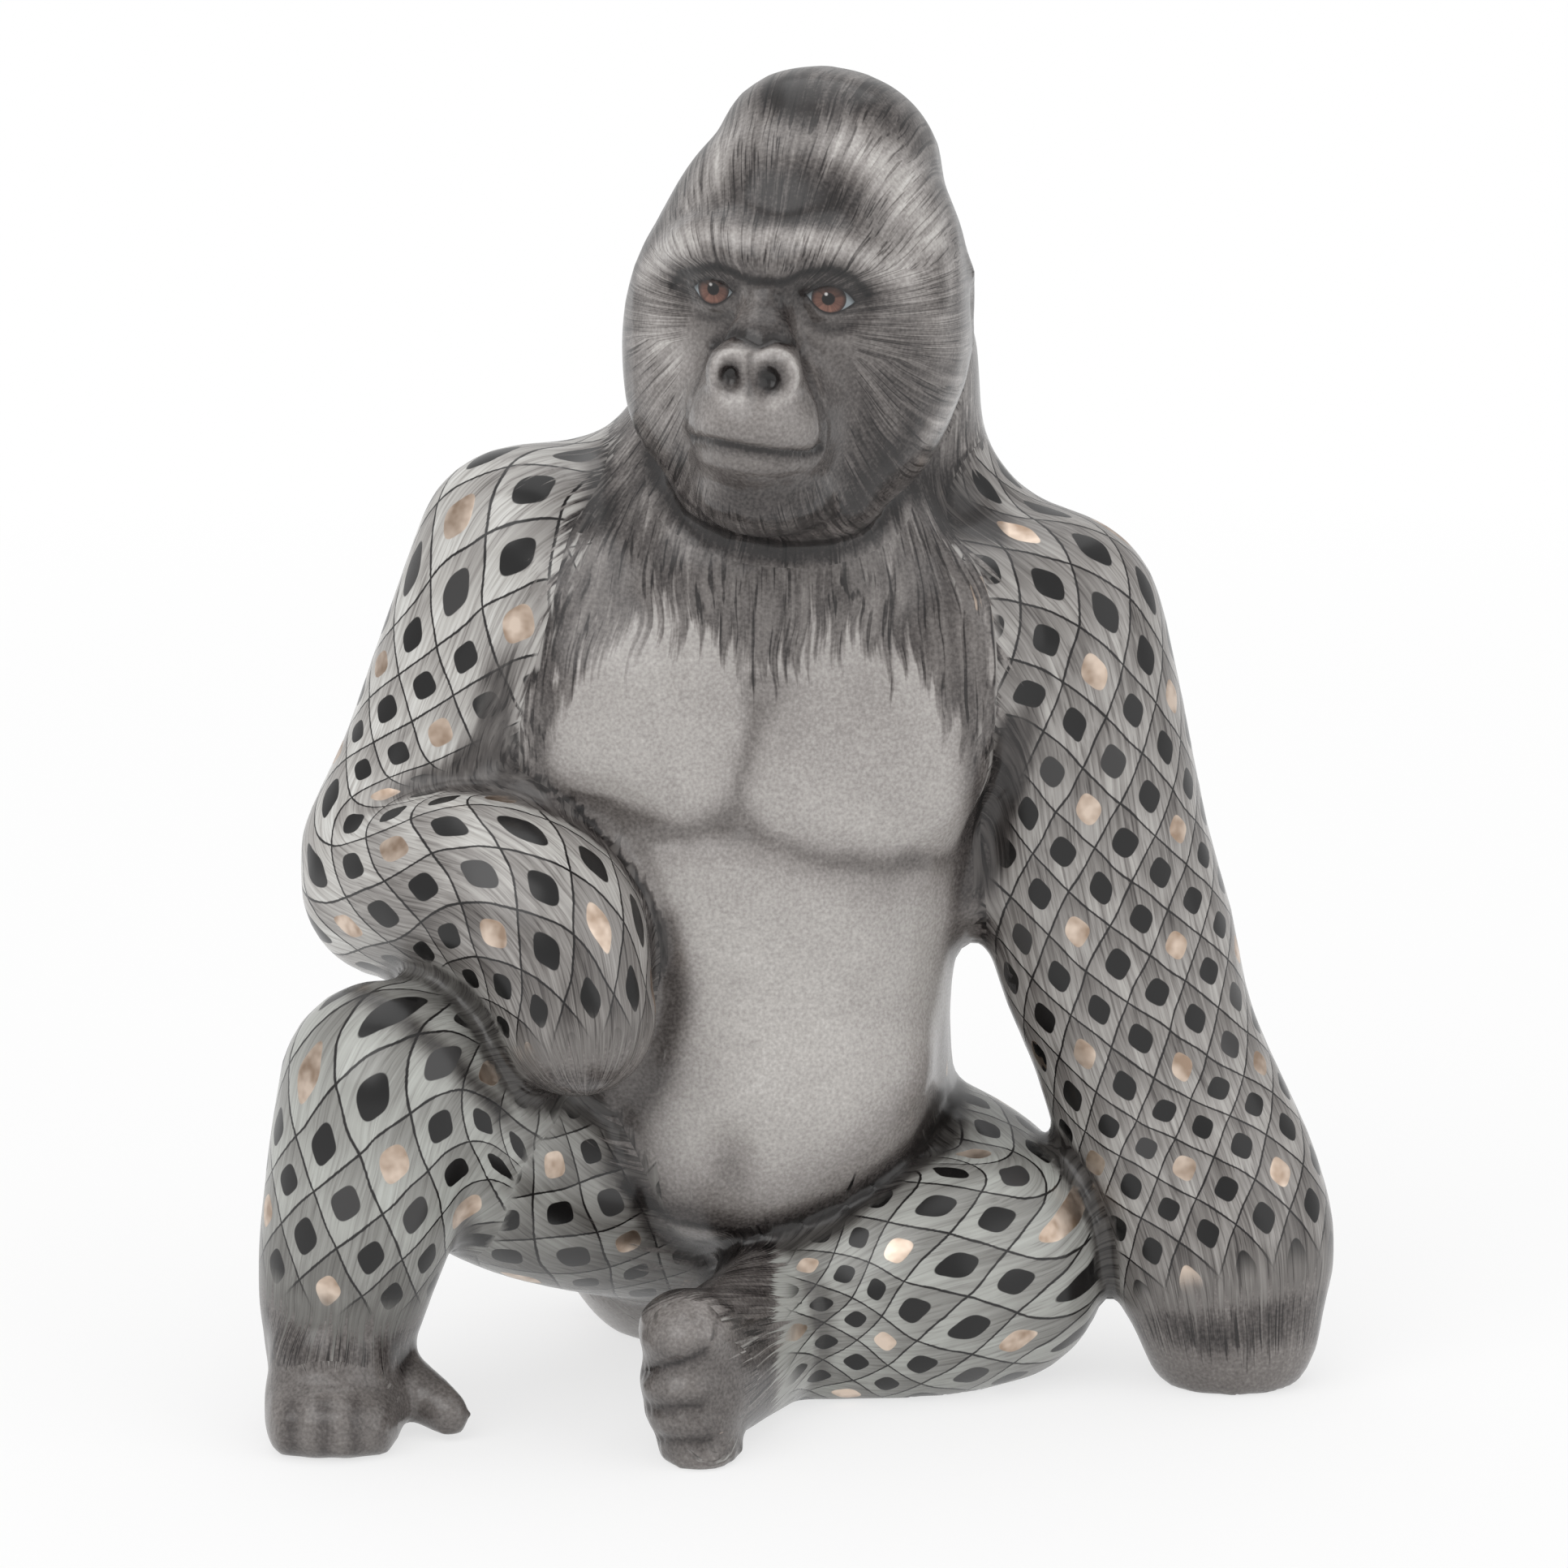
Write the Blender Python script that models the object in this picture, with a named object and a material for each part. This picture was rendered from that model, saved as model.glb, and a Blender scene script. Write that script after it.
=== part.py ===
"""Seated gorilla figurine, slip-cast porcelain, 230 mm tall, as one closed solid.

The gorilla sits on its haunches. Its right leg is planted with the knee up, its left leg is
folded on the ground with the foot in front, its right forearm lies over the raised knee and
its left arm stands on the ground on a fist. +Z is up and the gorilla faces -Y.

Sizes are in millimetres. Each form is a rounded loft or an ellipsoid. The forms are fused in
groups, evened out, worked with a few modelling strokes and fused into one body, which is cut
flat where the figurine stands.
"""

import math
from dataclasses import dataclass

import bmesh
import bpy
import numpy as np
from mathutils import Euler, Matrix, Vector
from mathutils.bvhtree import BVHTree

MM = 0.001

# How finely forms are fused, and how light the finished solid is
TRUNK_VOXEL = 1.8
GROUP_VOXEL = 1.3
DETAIL_VOXEL = 0.8
BODY_VOXEL = 0.8
BODY_TRIANGLES = 8300
FACE_TRIANGLES = 3500
RING_SIDES = 24
STEPS_PER_STATION = 6
CAP_ANGLES_DEG = (82, 64, 45, 27, 12)

# Finish: linear colour of the grey ground, and the smoothness of the glaze
PAINT_GREY = (0.2, 0.2, 0.205)
GLAZE_ROUGHNESS = 0.18

# Standing: every foot of the figurine is ground flat at this height in the modelling frame
GROUND_Z = 0.0


@dataclass(frozen=True)
class Station:
    """One cross-section of a loft: its middle, and its half-sizes across and along the guide."""

    middle: tuple
    across: float
    along: float


@dataclass(frozen=True)
class Ball:
    """An ellipsoid: its middle, half-sizes and turn about X, Y and Z in degrees."""

    middle: tuple
    radii: tuple
    turn: tuple = (0.0, 0.0, 0.0)


@dataclass(frozen=True)
class Stroke:
    """A modelling stroke: points (X, Z) seen from the front, its half-width and its height."""

    path: tuple
    width: float
    height: float


# Trunk, from the seat up to the neck, leaning a little to its left
TRUNK = (
    Station((-5, 46, 3), 26, 15),
    Station((-7, 38, 16), 36, 28),
    Station((-8, 28, 34), 38, 34),
    Station((-8, 18, 60), 35, 36),
    Station((-8, 14, 84), 37, 37),
    Station((-7, 14, 106), 40, 38),
    Station((-6, 16, 128), 43, 36),
    Station((-4, 17, 146), 41, 32),
    Station((0, 18, 162), 31, 27),
    Station((4, 18, 178), 28.5, 24),
    Station((4, 17, 192), 24, 22),
    Station((5, 12, 203), 18, 20),
)
TRUNK_SQUARENESS = 2.4
BELLY = Ball((-8, -4, 58), (32, 20, 30))
LOWER_BELLY = Ball((-13, 0, 42), (26, 22, 18))
RIGHT_PEC = Ball((-26, -11, 120), (25, 12, 24), (0, 8, -6))
LEFT_PEC = Ball((10, -11, 116), (24, 12, 24), (0, 8, 6))
THROAT = Ball((-5, -1, 142), (32, 23, 27))
RIGHT_SHOULDER_FRONT = Ball((-32, -1, 136), (22, 16, 20))
LEFT_SHOULDER_FRONT = Ball((24, -2, 131), (20, 16, 20))
UNDER_FOREARM = Ball((-56, -14, 64), (12, 12, 14))
ELBOW_FOLD = Ball((-46, -7, 103), (11, 11, 11))
KNEE_FOLD = Ball((-62, -10, 70), (10, 13, 9))
LAP_FOLD = Ball((-41, -10, 66), (15, 15, 15))
KNEE_CREASE = (-58, -24, 73)
CREASE_REACH = 20
CREASE_STEPS = 25
UPPER_BACK = Ball((-4, 24, 141), (46, 25, 29))
RIGHT_BACK = Ball((-34, 20, 126), (24, 25, 38))
LEFT_BACK = Ball((25, 21, 118), (24, 26, 42))
RIGHT_SIDE = Ball((-46, 15, 128), (18, 19, 27))
LEFT_SIDE = Ball((39, 16, 118), (17, 18, 28))
LEFT_ARMPIT = Ball((32, 10, 88), (9, 14, 10))
RIGHT_TRAPEZIUS = (
    Station((-6, 20, 163), 22, 20),
    Station((-28, 17, 149.5), 17, 18),
    Station((-46, 11, 149.5), 16, 17),
)
LEFT_TRAPEZIUS = (
    Station((8, 20, 163), 22, 20),
    Station((28, 16, 144), 17, 17),
    Station((44, 12, 136.5), 16, 17),
)

# Arms, from the shoulder down
RIGHT_ARM = (
    Station((-47.2, 7, 146), 20.2, 19.5),
    Station((-57.2, 6, 126), 17.2, 17.5),
    Station((-63, 5, 110), 16.8, 17.5),
    Station((-70.4, 3, 93), 17.4, 17.5),
)
RIGHT_FOREARM = (
    Station((-70, 1, 89), 17.2, 17),
    Station((-58, -13, 91), 17.5, 17.5),
    Station((-44, -23, 86), 17.5, 17.5),
    Station((-38, -29, 72), 14, 14),
)
LEFT_ARM = (
    Station((43, 9, 134), 21, 20),
    Station((48.5, 8, 114), 19.6, 19.5),
    Station((51.5, 8, 94), 20.8, 19.5),
    Station((55.5, 8, 76), 21.8, 19),
    Station((60.5, 8, 60), 20.3, 18.5),
    Station((65.5, 8, 46), 21.2, 18.5),
    Station((71, 5, 32), 22, 18.5),
    Station((74.5, 1, 20), 21, 17.5),
    Station((76, -1.5, 9.5), 16.5, 15),
)

# Legs, from the hip down
RIGHT_THIGH = (
    Station((-20, 17, 31), 23, 23),
    Station((-48, -8, 41), 20, 20),
    Station((-67, -27, 57), 18, 19),
)
RIGHT_SHIN = (
    Station((-70, -30, 60), 18.5, 18.5),
    Station((-73.5, -31, 44), 17.6, 17.5),
    Station((-77.5, -29, 27), 15.4, 15.5),
    Station((-79.3, -25, 14), 13, 13.5),
)
RIGHT_FOOT = (
    Station((-79, -12, 8), 11, 9),
    Station((-79.2, -27, 9), 12, 11),
    Station((-79.4, -38, 7.5), 12, 9),
)
RIGHT_INSTEP = Ball((-79.4, -34.5, 14.5), (11.4, 11.5, 11.5))
BIG_TOE = (
    Station((-71, -26, 8), 6, 6),
    Station((-64, -33, 6), 4.4, 5),
    Station((-59.5, -37.5, 4.2), 3.6, 4),
)
RIGHT_TOES = (
    Ball((-87.0, -41.5, 5), (3.9, 10, 7), (0, 0, 6)),
    Ball((-81.8, -43.4, 5.4), (3.8, 10, 7.4), (0, 0, 2)),
    Ball((-76.3, -43.6, 5.2), (3.8, 10, 7.2), (0, 0, -2)),
    Ball((-71.2, -41.5, 4.6), (3.6, 10, 6.6), (0, 0, -6)),
)
LEFT_THIGH = (
    Station((12, 30, 26), 26, 26),
    Station((26, 16, 24.4), 23.4, 23),
    Station((33, 4, 20.6), 22.6, 21.6),
)
LEFT_SHIN = (
    Station((33, 3, 20.6), 21.6, 22.6),
    Station((21, -3, 18.4), 21, 21.8),
    Station((8, -7, 15.6), 17.5, 18.6),
    Station((-3, -12, 14.5), 13, 15.5),
)
LEFT_FOOT = (
    Station((-3, -11, 14), 12, 15),
    Station((-10, -27, 13.4), 10.4, 14),
    Station((-17, -44, 13.4), 9.4, 13.8),
)
LEFT_TOES = (
    Ball((-19, -45.5, 21.8), (8.6, 11.6, 6.6)),
    Ball((-19, -46, 13.2), (8.6, 11.4, 4.1)),
    Ball((-18.4, -46.2, 7.4), (8.2, 11.2, 3.9)),
    Ball((-16.8, -46.4, 1.8), (7.6, 11, 4.2)),
)

# Head, in its own frame: it turns to its right and leans to its left
HEAD_MIDDLE = (0.0, -8.0, 188.0)
HEAD_TURN_DEG = -10.0
HEAD_LEAN_DEG = 3.5
SKULL = (
    Station((0.4, -14, -28), 18, 14),
    Station((0.4, -11.5, -20), 25.2, 20),
    Station((0.2, -8, -10), 28.6, 25),
    Station((0.8, -5, 0), 29.6, 29),
    Station((1.8, -1, 10), 27.3, 31.5),
    Station((2.3, 2, 19), 24.2, 30),
    Station((2.8, 5, 27), 19.2, 25),
)
SKULL_ENDS = (8, 15)
MUZZLE = Ball((0, -28, -12.8), (13.4, 20, 13.6))
CHIN = Ball((0, -23, -24.6), (13, 17.5, 9))
BROW = (
    Station((-18.5, -18.5, 10.5), 5, 5),
    Station((-10.5, -29, 14.2), 5.6, 6.5),
    Station((0, -31, 12.6), 5.6, 6.5),
    Station((10.5, -29, 14.2), 5.6, 6.5),
    Station((18.5, -18.5, 10.5), 5, 5),
)
NOSE_BRIDGE = (
    Station((0, -31, 11), 3.2, 4),
    Station((0, -33.5, 5), 4.6, 4.4),
    Station((0, -38.4, -0.5), 7, 5),
)
NOSTRIL = Ball((3.9, -42.4, -3.7), (4.6, 4.4, 4.6))
EYEBALL = Ball((8.8, -28.8, 7.4), (4.4, 4.4, 4.2))
NAPE_STEPS = 120

# Strokes on the face, in the head's frame, for the right half and mirrored onto the left
FACE_STROKES = (
    Stroke(((-12, 7.2), (-9.4, 7.8), (-7.4, 7.2)), 3.6, -1.9),
    Stroke(((-3.0, -4.0),), 1.9, -3.0),
    Stroke(((-6.5, 1.5), (-4, 2.4), (-0.5, 1.7)), 1.1, -0.8),
    Stroke(((-10.5, -6), (-12.6, -12), (-12.2, -17)), 1.6, -1.0),
    Stroke(((-10.4, -17.0), (-6, -17.4), (0, -17.6)), 1.3, -1.9),
    Stroke(((-8.5, -22.6), (-4, -23.8), (0, -24)), 1.8, -0.8),
)

# Strokes on each ear, as (Y, Z) of the head's frame seen from the side: a rim and a hollow
EAR_STROKES = (
    Stroke(((0, 10.5), (4, 9.5), (6, 6), (5, 1.5), (2.5, -1.5)), 1.5, 1.3),
    Stroke(((1.5, 7), (2.5, 3.5)), 1.5, -1.3),
)

# Strokes on the trunk, in the figurine's frame
BODY_STROKES = (
    Stroke(((-5.5, 126), (-7, 117), (-9, 108)), 3.4, -0.9),
    Stroke(((-33, 106), (-26, 103), (-18, 102), (-10, 104)), 4.0, -1.1),
    Stroke(((-9, 104), (-2, 100.5), (8, 97.5), (20, 96.5)), 4.0, -1.1),
    Stroke(((-12, 48),), 4.0, -0.9),
)


def clear_scene():
    """Removes the objects of the startup scene."""
    for obj in list(bpy.data.objects):
        bpy.data.objects.remove(obj)


def add_ball(bm, ball, place=Matrix.Identity(4)):
    """Adds an ellipsoid to the bmesh."""
    turn = Euler([math.radians(a) for a in ball.turn]).to_matrix().to_4x4()
    size = Matrix.Diagonal((*ball.radii, 1.0))
    matrix = place @ Matrix.Translation(ball.middle) @ turn @ size
    bmesh.ops.create_icosphere(bm, subdivisions=4, radius=1.0, matrix=matrix)


def smooth_row(stations):
    """Points and half-sizes read from a smooth curve through the stations."""
    rows = np.array([(*s.middle, s.across, s.along) for s in stations], float)
    before = 2 * rows[0] - rows[1]
    after = 2 * rows[-1] - rows[-2]
    rows = np.vstack([before, rows, after])
    found = []
    for i in range(1, len(rows) - 2):
        a, b, c, d = rows[i - 1 : i + 3]
        for t in np.linspace(0, 1, STEPS_PER_STATION, endpoint=False):
            cubic = (-a + 3 * b - 3 * c + d) * t**3
            square = (2 * a - 5 * b + 4 * c - d) * t**2
            found.append(0.5 * (cubic + square + (c - a) * t + 2 * b))
    found.append(rows[-2])
    return np.array(found)


def add_limb(bm, stations, guide=(0, 1, 0), place=Matrix.Identity(4), square=2.0, ends=None):
    """Adds a loft of elliptical rings through the stations, closed by rounded ends.

    square over 2 turns the ellipses towards rounded rectangles; ends are the heights of the
    rounded ends, where they differ from the mean half-size.
    """
    rows = smooth_row(stations)
    heading = np.gradient(rows[:, :3], axis=0)
    heading /= np.linalg.norm(heading, axis=1)[:, None]
    rings = []
    first, last = rows[0], rows[-1]
    start_height, end_height = ends or (first[3:].mean(), last[3:].mean())
    for angle in CAP_ANGLES_DEG:
        shrink, reach = math.cos(math.radians(angle)), math.sin(math.radians(angle))
        middle = first[:3] - heading[0] * reach * start_height
        rings.append((middle, heading[0], first[3:] * shrink))
    for row, way in zip(rows, heading):
        rings.append((row[:3], way, row[3:]))
    for angle in reversed(CAP_ANGLES_DEG):
        shrink, reach = math.cos(math.radians(angle)), math.sin(math.radians(angle))
        middle = last[:3] + heading[-1] * reach * end_height
        rings.append((middle, heading[-1], last[3:] * shrink))

    loops = []
    for middle, way, sizes in rings:
        forward = Vector(way)
        across = Vector(guide).cross(forward).normalized()
        along = forward.cross(across)
        frame = Matrix((across * sizes[0], along * sizes[1], forward)).transposed().to_4x4()
        matrix = place @ Matrix.Translation(middle) @ frame
        made = bmesh.ops.create_circle(bm, segments=RING_SIDES, radius=1.0)
        for vert in made["verts"]:
            vert.co = Vector([math.copysign(abs(c) ** (2 / square), c) for c in vert.co])
            vert.co = matrix @ vert.co
        loops.append({edge for vert in made["verts"] for edge in vert.link_edges})
    for lower, upper in zip(loops, loops[1:]):
        bmesh.ops.bridge_loops(bm, edges=list(lower | upper))
    for end in (loops[0], loops[-1]):
        bmesh.ops.edgeloop_fill(bm, edges=list(end))


def fused(bm, voxel, smoothing):
    """One closed mesh from overlapping closed forms, evened out by smoothing steps."""
    bmesh.ops.recalc_face_normals(bm, faces=bm.faces)
    mesh = bpy.data.meshes.new("forms")
    bm.to_mesh(mesh)
    bm.free()
    obj = bpy.data.objects.new("forms", mesh)
    bpy.context.scene.collection.objects.link(obj)
    remesh = obj.modifiers.new("fuse", "REMESH")
    remesh.mode = "VOXEL"
    remesh.voxel_size = voxel
    if smoothing:
        smooth = obj.modifiers.new("even", "SMOOTH")
        smooth.factor = 0.5
        smooth.iterations = smoothing
    bpy.context.view_layer.update()
    graph = bpy.context.evaluated_depsgraph_get()
    made = bpy.data.meshes.new_from_object(obj.evaluated_get(graph))
    bpy.data.objects.remove(obj)
    bpy.data.meshes.remove(mesh)
    return made


def head_place():
    """The head's frame in the figurine."""
    turn = Matrix.Rotation(math.radians(HEAD_TURN_DEG), 4, "Z")
    lean = Matrix.Rotation(math.radians(HEAD_LEAN_DEG), 4, "Y")
    return Matrix.Translation(HEAD_MIDDLE) @ turn @ lean


def vertex_array(mesh, name):
    """Vertex positions or normals of a mesh as rows."""
    values = np.empty(len(mesh.vertices) * 3, np.float32)
    mesh.vertices.foreach_get(name, values)
    return values.reshape(-1, 3)


def front_points(tree, place, path):
    """Points on the surface under a path, seen from the front of the frame, 0.7 mm apart."""
    rows = np.array(path, float)
    if len(rows) > 1:
        lengths = np.linalg.norm(np.diff(rows, axis=0), axis=1)
        along = np.concatenate([[0], np.cumsum(lengths)])
        steps = np.linspace(0, along[-1], max(2, int(along[-1] / 0.7)))
        rows = np.stack([np.interp(steps, along, rows[:, i]) for i in (0, 1)], axis=1)
    ahead = (place.to_3x3() @ Vector((0, 1, 0))).normalized()
    found = []
    for x, z in rows:
        hit = tree.ray_cast(place @ Vector((x, -150, z)), ahead)[0]
        if hit is not None:
            found.append(hit)
    return np.array(found, np.float32)


def relax(mesh, weights, steps):
    """Evens out the surface where the weights, 0 to 1 for each vertex, are high."""
    ends = np.empty(len(mesh.edges) * 2, np.int32)
    mesh.edges.foreach_get("vertices", ends)
    ends = ends.reshape(-1, 2)
    spots = vertex_array(mesh, "co").astype(float)
    count = len(spots)
    degree = np.bincount(ends.reshape(-1), minlength=count)
    for _ in range(steps):
        for axis in range(3):
            value = spots[:, axis]
            total = np.bincount(ends[:, 0], value[ends[:, 1]], count)
            total += np.bincount(ends[:, 1], value[ends[:, 0]], count)
            spots[:, axis] += 0.6 * weights * (total / degree - value)
    mesh.vertices.foreach_set("co", spots.astype(np.float32).reshape(-1))
    mesh.update()


def rise(values, low, high):
    """0 below low, 1 above high, and a smooth step between."""
    part = np.clip((values - low) / (high - low), 0, 1)
    return part * part * (3 - 2 * part)


def apply_strokes(mesh, strokes, place=Matrix.Identity(4), mirrored=False):
    """Pushes the surface in or out along each stroke, fading across its width."""
    bm = bmesh.new()
    bm.from_mesh(mesh)
    tree = BVHTree.FromBMesh(bm)
    bm.free()
    for stroke in strokes:
        sides = [stroke.path]
        if mirrored:
            sides.append(tuple((-x, z) for x, z in stroke.path))
        normals = vertex_array(mesh, "normal")
        spots = vertex_array(mesh, "co")
        fade = np.zeros(len(spots), np.float32)
        for path in sides:
            middles = front_points(tree, place, path)
            low, high = middles.min(0) - 3 * stroke.width, middles.max(0) + 3 * stroke.width
            near = np.flatnonzero(((spots > low) & (spots < high)).all(axis=1))
            gaps = np.linalg.norm(spots[near, None] - middles[None], axis=2).min(axis=1)
            fade[near] = np.maximum(fade[near], np.exp(-((gaps / stroke.width) ** 2)))
        spots = spots + normals * (fade * stroke.height)[:, None]
        mesh.vertices.foreach_set("co", spots.reshape(-1))
        mesh.update()


def make_trunk():
    """Trunk with chest, belly and shoulders."""
    bm = bmesh.new()
    add_limb(bm, TRUNK, square=TRUNK_SQUARENESS)
    for ball in (BELLY, LOWER_BELLY, RIGHT_PEC, LEFT_PEC, THROAT):
        add_ball(bm, ball)
    for ball in (UNDER_FOREARM, ELBOW_FOLD, KNEE_FOLD, LAP_FOLD):
        add_ball(bm, ball)
    for ball in (RIGHT_SHOULDER_FRONT, LEFT_SHOULDER_FRONT):
        add_ball(bm, ball)
    for ball in (RIGHT_BACK, LEFT_BACK, UPPER_BACK, RIGHT_SIDE, LEFT_SIDE, LEFT_ARMPIT):
        add_ball(bm, ball)
    for stations in (RIGHT_TRAPEZIUS, LEFT_TRAPEZIUS, RIGHT_ARM, LEFT_ARM):
        add_limb(bm, stations)
    return fused(bm, TRUNK_VOXEL, 30)


def make_forearm():
    """Right forearm, across the belly and over the raised knee."""
    bm = bmesh.new()
    add_limb(bm, RIGHT_FOREARM)
    return fused(bm, GROUP_VOXEL, 4)


def make_legs():
    """Both legs with the feet."""
    bm = bmesh.new()
    for stations in (RIGHT_THIGH, RIGHT_SHIN, LEFT_THIGH):
        add_limb(bm, stations)
    for stations in (RIGHT_FOOT, BIG_TOE, LEFT_SHIN, LEFT_FOOT):
        add_limb(bm, stations, guide=(0, 0, 1))
    for ball in RIGHT_TOES + LEFT_TOES + (RIGHT_INSTEP,):
        add_ball(bm, ball)
    return fused(bm, DETAIL_VOXEL, 8)


def make_head():
    """Head with the crest, brow, nose, muzzle and eyes."""
    place = head_place()
    bm = bmesh.new()
    add_limb(bm, SKULL, place=place, square=2.2, ends=SKULL_ENDS)
    for ball in (MUZZLE, CHIN):
        add_ball(bm, ball, place)
    add_limb(bm, BROW, guide=(0, 0, 1), place=place)
    soft = fused(bm, DETAIL_VOXEL, 24)
    apply_strokes(soft, FACE_STROKES[:1], place, mirrored=True)
    bm = bmesh.new()
    bm.from_mesh(soft)
    add_limb(bm, NOSE_BRIDGE, place=place)
    mirror = Matrix.Diagonal((-1, 1, 1, 1))
    for ball in (NOSTRIL, EYEBALL):
        add_ball(bm, ball, place)
        add_ball(bm, ball, place @ mirror)
    head = fused(bm, DETAIL_VOXEL, 5)
    apply_strokes(head, FACE_STROKES[1:], place, mirrored=True)
    quarter = Matrix.Rotation(math.radians(90), 4, "Z")
    apply_strokes(head, EAR_STROKES, place @ quarter)
    apply_strokes(head, EAR_STROKES, place @ mirror @ quarter)
    relax(head, np.ones(len(head.vertices)), 3)
    return head


def largest_shell(mesh):
    """Leaves only the shell with the most vertices, so that no closed pocket stays inside."""
    bm = bmesh.new()
    bm.from_mesh(mesh)
    bm.verts.ensure_lookup_table()
    shells = []
    seen = set()
    for start in bm.verts:
        if start in seen:
            continue
        seen.add(start)
        shell = [start]
        for vert in shell:
            for edge in vert.link_edges:
                other = edge.other_vert(vert)
                if other not in seen:
                    seen.add(other)
                    shell.append(other)
        shells.append(shell)
    shells.sort(key=len)
    for shell in shells[:-1]:
        bmesh.ops.delete(bm, geom=shell, context="VERTS")
    bm.to_mesh(mesh)
    bm.free()


def make_body():
    """The whole gorilla as one fine mesh in the modelling frame."""
    bm = bmesh.new()
    for mesh in (make_trunk(), make_forearm(), make_legs(), make_head()):
        bm.from_mesh(mesh)
    body = fused(bm, BODY_VOXEL, 2)
    largest_shell(body)
    x, y, z = vertex_array(body, "co").T
    nape = rise(y, 0, 12) * rise(z, 120, 150)
    relax(body, nape, NAPE_STEPS)
    gaps = np.linalg.norm(vertex_array(body, "co") - np.array(KNEE_CREASE), axis=1)
    relax(body, 1 - rise(gaps, CREASE_REACH / 2, CREASE_REACH), CREASE_STEPS)
    apply_strokes(body, BODY_STROKES)
    return body


def face_share(spots):
    """1 for points on the face, 0 elsewhere, with a smooth step between."""
    matrix = np.array(head_place().inverted())
    x, y, z = (spots @ matrix[:3, :3].T + matrix[:3, 3]).T
    front = rise(-y, 14, 22)
    height = rise(z, -34, -28) * (1 - rise(z, 18, 24))
    return front * height * (1 - rise(abs(x), 15, 20))


def reduced(mesh):
    """A light copy of the fine mesh, in which the face keeps finer triangles than the body."""
    obj = bpy.data.objects.new("fine", mesh)
    bpy.context.scene.collection.objects.link(obj)
    on_face = np.flatnonzero(face_share(vertex_array(mesh, "co")) > 0.5)
    obj.vertex_groups.new(name="face").add(on_face.tolist(), 1.0, "REPLACE")
    fine = 2 * len(mesh.vertices)
    kept = BODY_TRIANGLES + 2 * len(on_face)
    for name, ratio in (("body", kept / fine), ("face", (BODY_TRIANGLES + FACE_TRIANGLES) / kept)):
        light = obj.modifiers.new(name, "DECIMATE")
        light.ratio = ratio
        light.vertex_group = "face"
        light.invert_vertex_group = name == "body"
    bpy.context.view_layer.update()
    graph = bpy.context.evaluated_depsgraph_get()
    made = bpy.data.meshes.new_from_object(obj.evaluated_get(graph))
    bpy.data.objects.remove(obj)
    return made


def cut_flat(mesh):
    """Cuts the mesh flat at the ground and closes the cuts."""
    bm = bmesh.new()
    bm.from_mesh(mesh)
    bmesh.ops.bisect_plane(
        bm,
        geom=bm.verts[:] + bm.edges[:] + bm.faces[:],
        dist=1e-4,
        plane_co=(0, 0, GROUND_Z),
        plane_no=(0, 0, -1),
        clear_outer=True,
    )
    rims = [edge for edge in bm.edges if edge.is_boundary]
    bmesh.ops.holes_fill(bm, edges=rims, sides=0)
    bmesh.ops.triangulate(bm, faces=bm.faces[:])
    bmesh.ops.recalc_face_normals(bm, faces=bm.faces[:])
    bm.to_mesh(mesh)
    bm.free()


def stand(mesh):
    """Puts the bottom middle of the mesh's box at the origin and turns millimetres to metres."""
    spots = vertex_array(mesh, "co")
    low, high = spots.min(axis=0), spots.max(axis=0)
    middle = Vector(((low[0] + high[0]) / 2, (low[1] + high[1]) / 2, low[2]))
    mesh.transform(Matrix.Scale(MM, 4) @ Matrix.Translation(-middle))
    return middle


def porcelain():
    """Glazed and fired porcelain: grey paint under a smooth clear glaze."""
    material = bpy.data.materials.new("glazed_porcelain")
    material.use_nodes = True
    shader = material.node_tree.nodes["Principled BSDF"]
    shader.inputs["Base Color"].default_value = (*PAINT_GREY, 1)
    shader.inputs["Roughness"].default_value = GLAZE_ROUGHNESS
    shader.inputs["Metallic"].default_value = 0.0
    return material


def main():
    """Builds the figurine."""
    clear_scene()
    mesh = reduced(make_body())
    cut_flat(mesh)
    stand(mesh)
    mesh.materials.append(porcelain())
    mesh.shade_smooth()
    figure = bpy.data.objects.new("gorilla", mesh)
    bpy.context.scene.collection.objects.link(figure)


if __name__ == "__main__":
    main()
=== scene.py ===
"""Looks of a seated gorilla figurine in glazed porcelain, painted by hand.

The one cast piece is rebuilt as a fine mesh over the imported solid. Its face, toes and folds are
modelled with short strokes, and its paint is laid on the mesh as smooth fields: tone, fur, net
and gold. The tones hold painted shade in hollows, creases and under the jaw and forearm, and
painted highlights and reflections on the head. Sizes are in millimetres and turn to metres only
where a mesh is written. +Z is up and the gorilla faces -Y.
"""

import logging
import math
from dataclasses import dataclass
from enum import IntEnum
from functools import partial

import bmesh
import bpy
import numpy as np
from mathutils import Matrix, Vector
from mathutils.bvhtree import BVHTree


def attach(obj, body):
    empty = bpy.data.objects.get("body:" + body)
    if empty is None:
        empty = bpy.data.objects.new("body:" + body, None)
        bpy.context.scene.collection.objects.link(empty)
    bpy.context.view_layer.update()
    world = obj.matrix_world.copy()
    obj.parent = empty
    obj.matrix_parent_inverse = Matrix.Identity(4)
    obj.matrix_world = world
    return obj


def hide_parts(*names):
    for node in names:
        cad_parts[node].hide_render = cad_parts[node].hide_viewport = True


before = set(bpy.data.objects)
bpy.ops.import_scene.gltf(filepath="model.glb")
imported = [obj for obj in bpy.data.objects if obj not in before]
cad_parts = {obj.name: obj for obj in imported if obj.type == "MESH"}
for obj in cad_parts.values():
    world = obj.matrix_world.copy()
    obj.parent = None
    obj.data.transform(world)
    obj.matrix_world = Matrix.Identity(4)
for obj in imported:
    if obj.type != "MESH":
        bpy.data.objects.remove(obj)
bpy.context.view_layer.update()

LOG = logging.getLogger("gorilla")
MM = 0.001
NODE = "gorilla"
BODY = "root"

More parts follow.
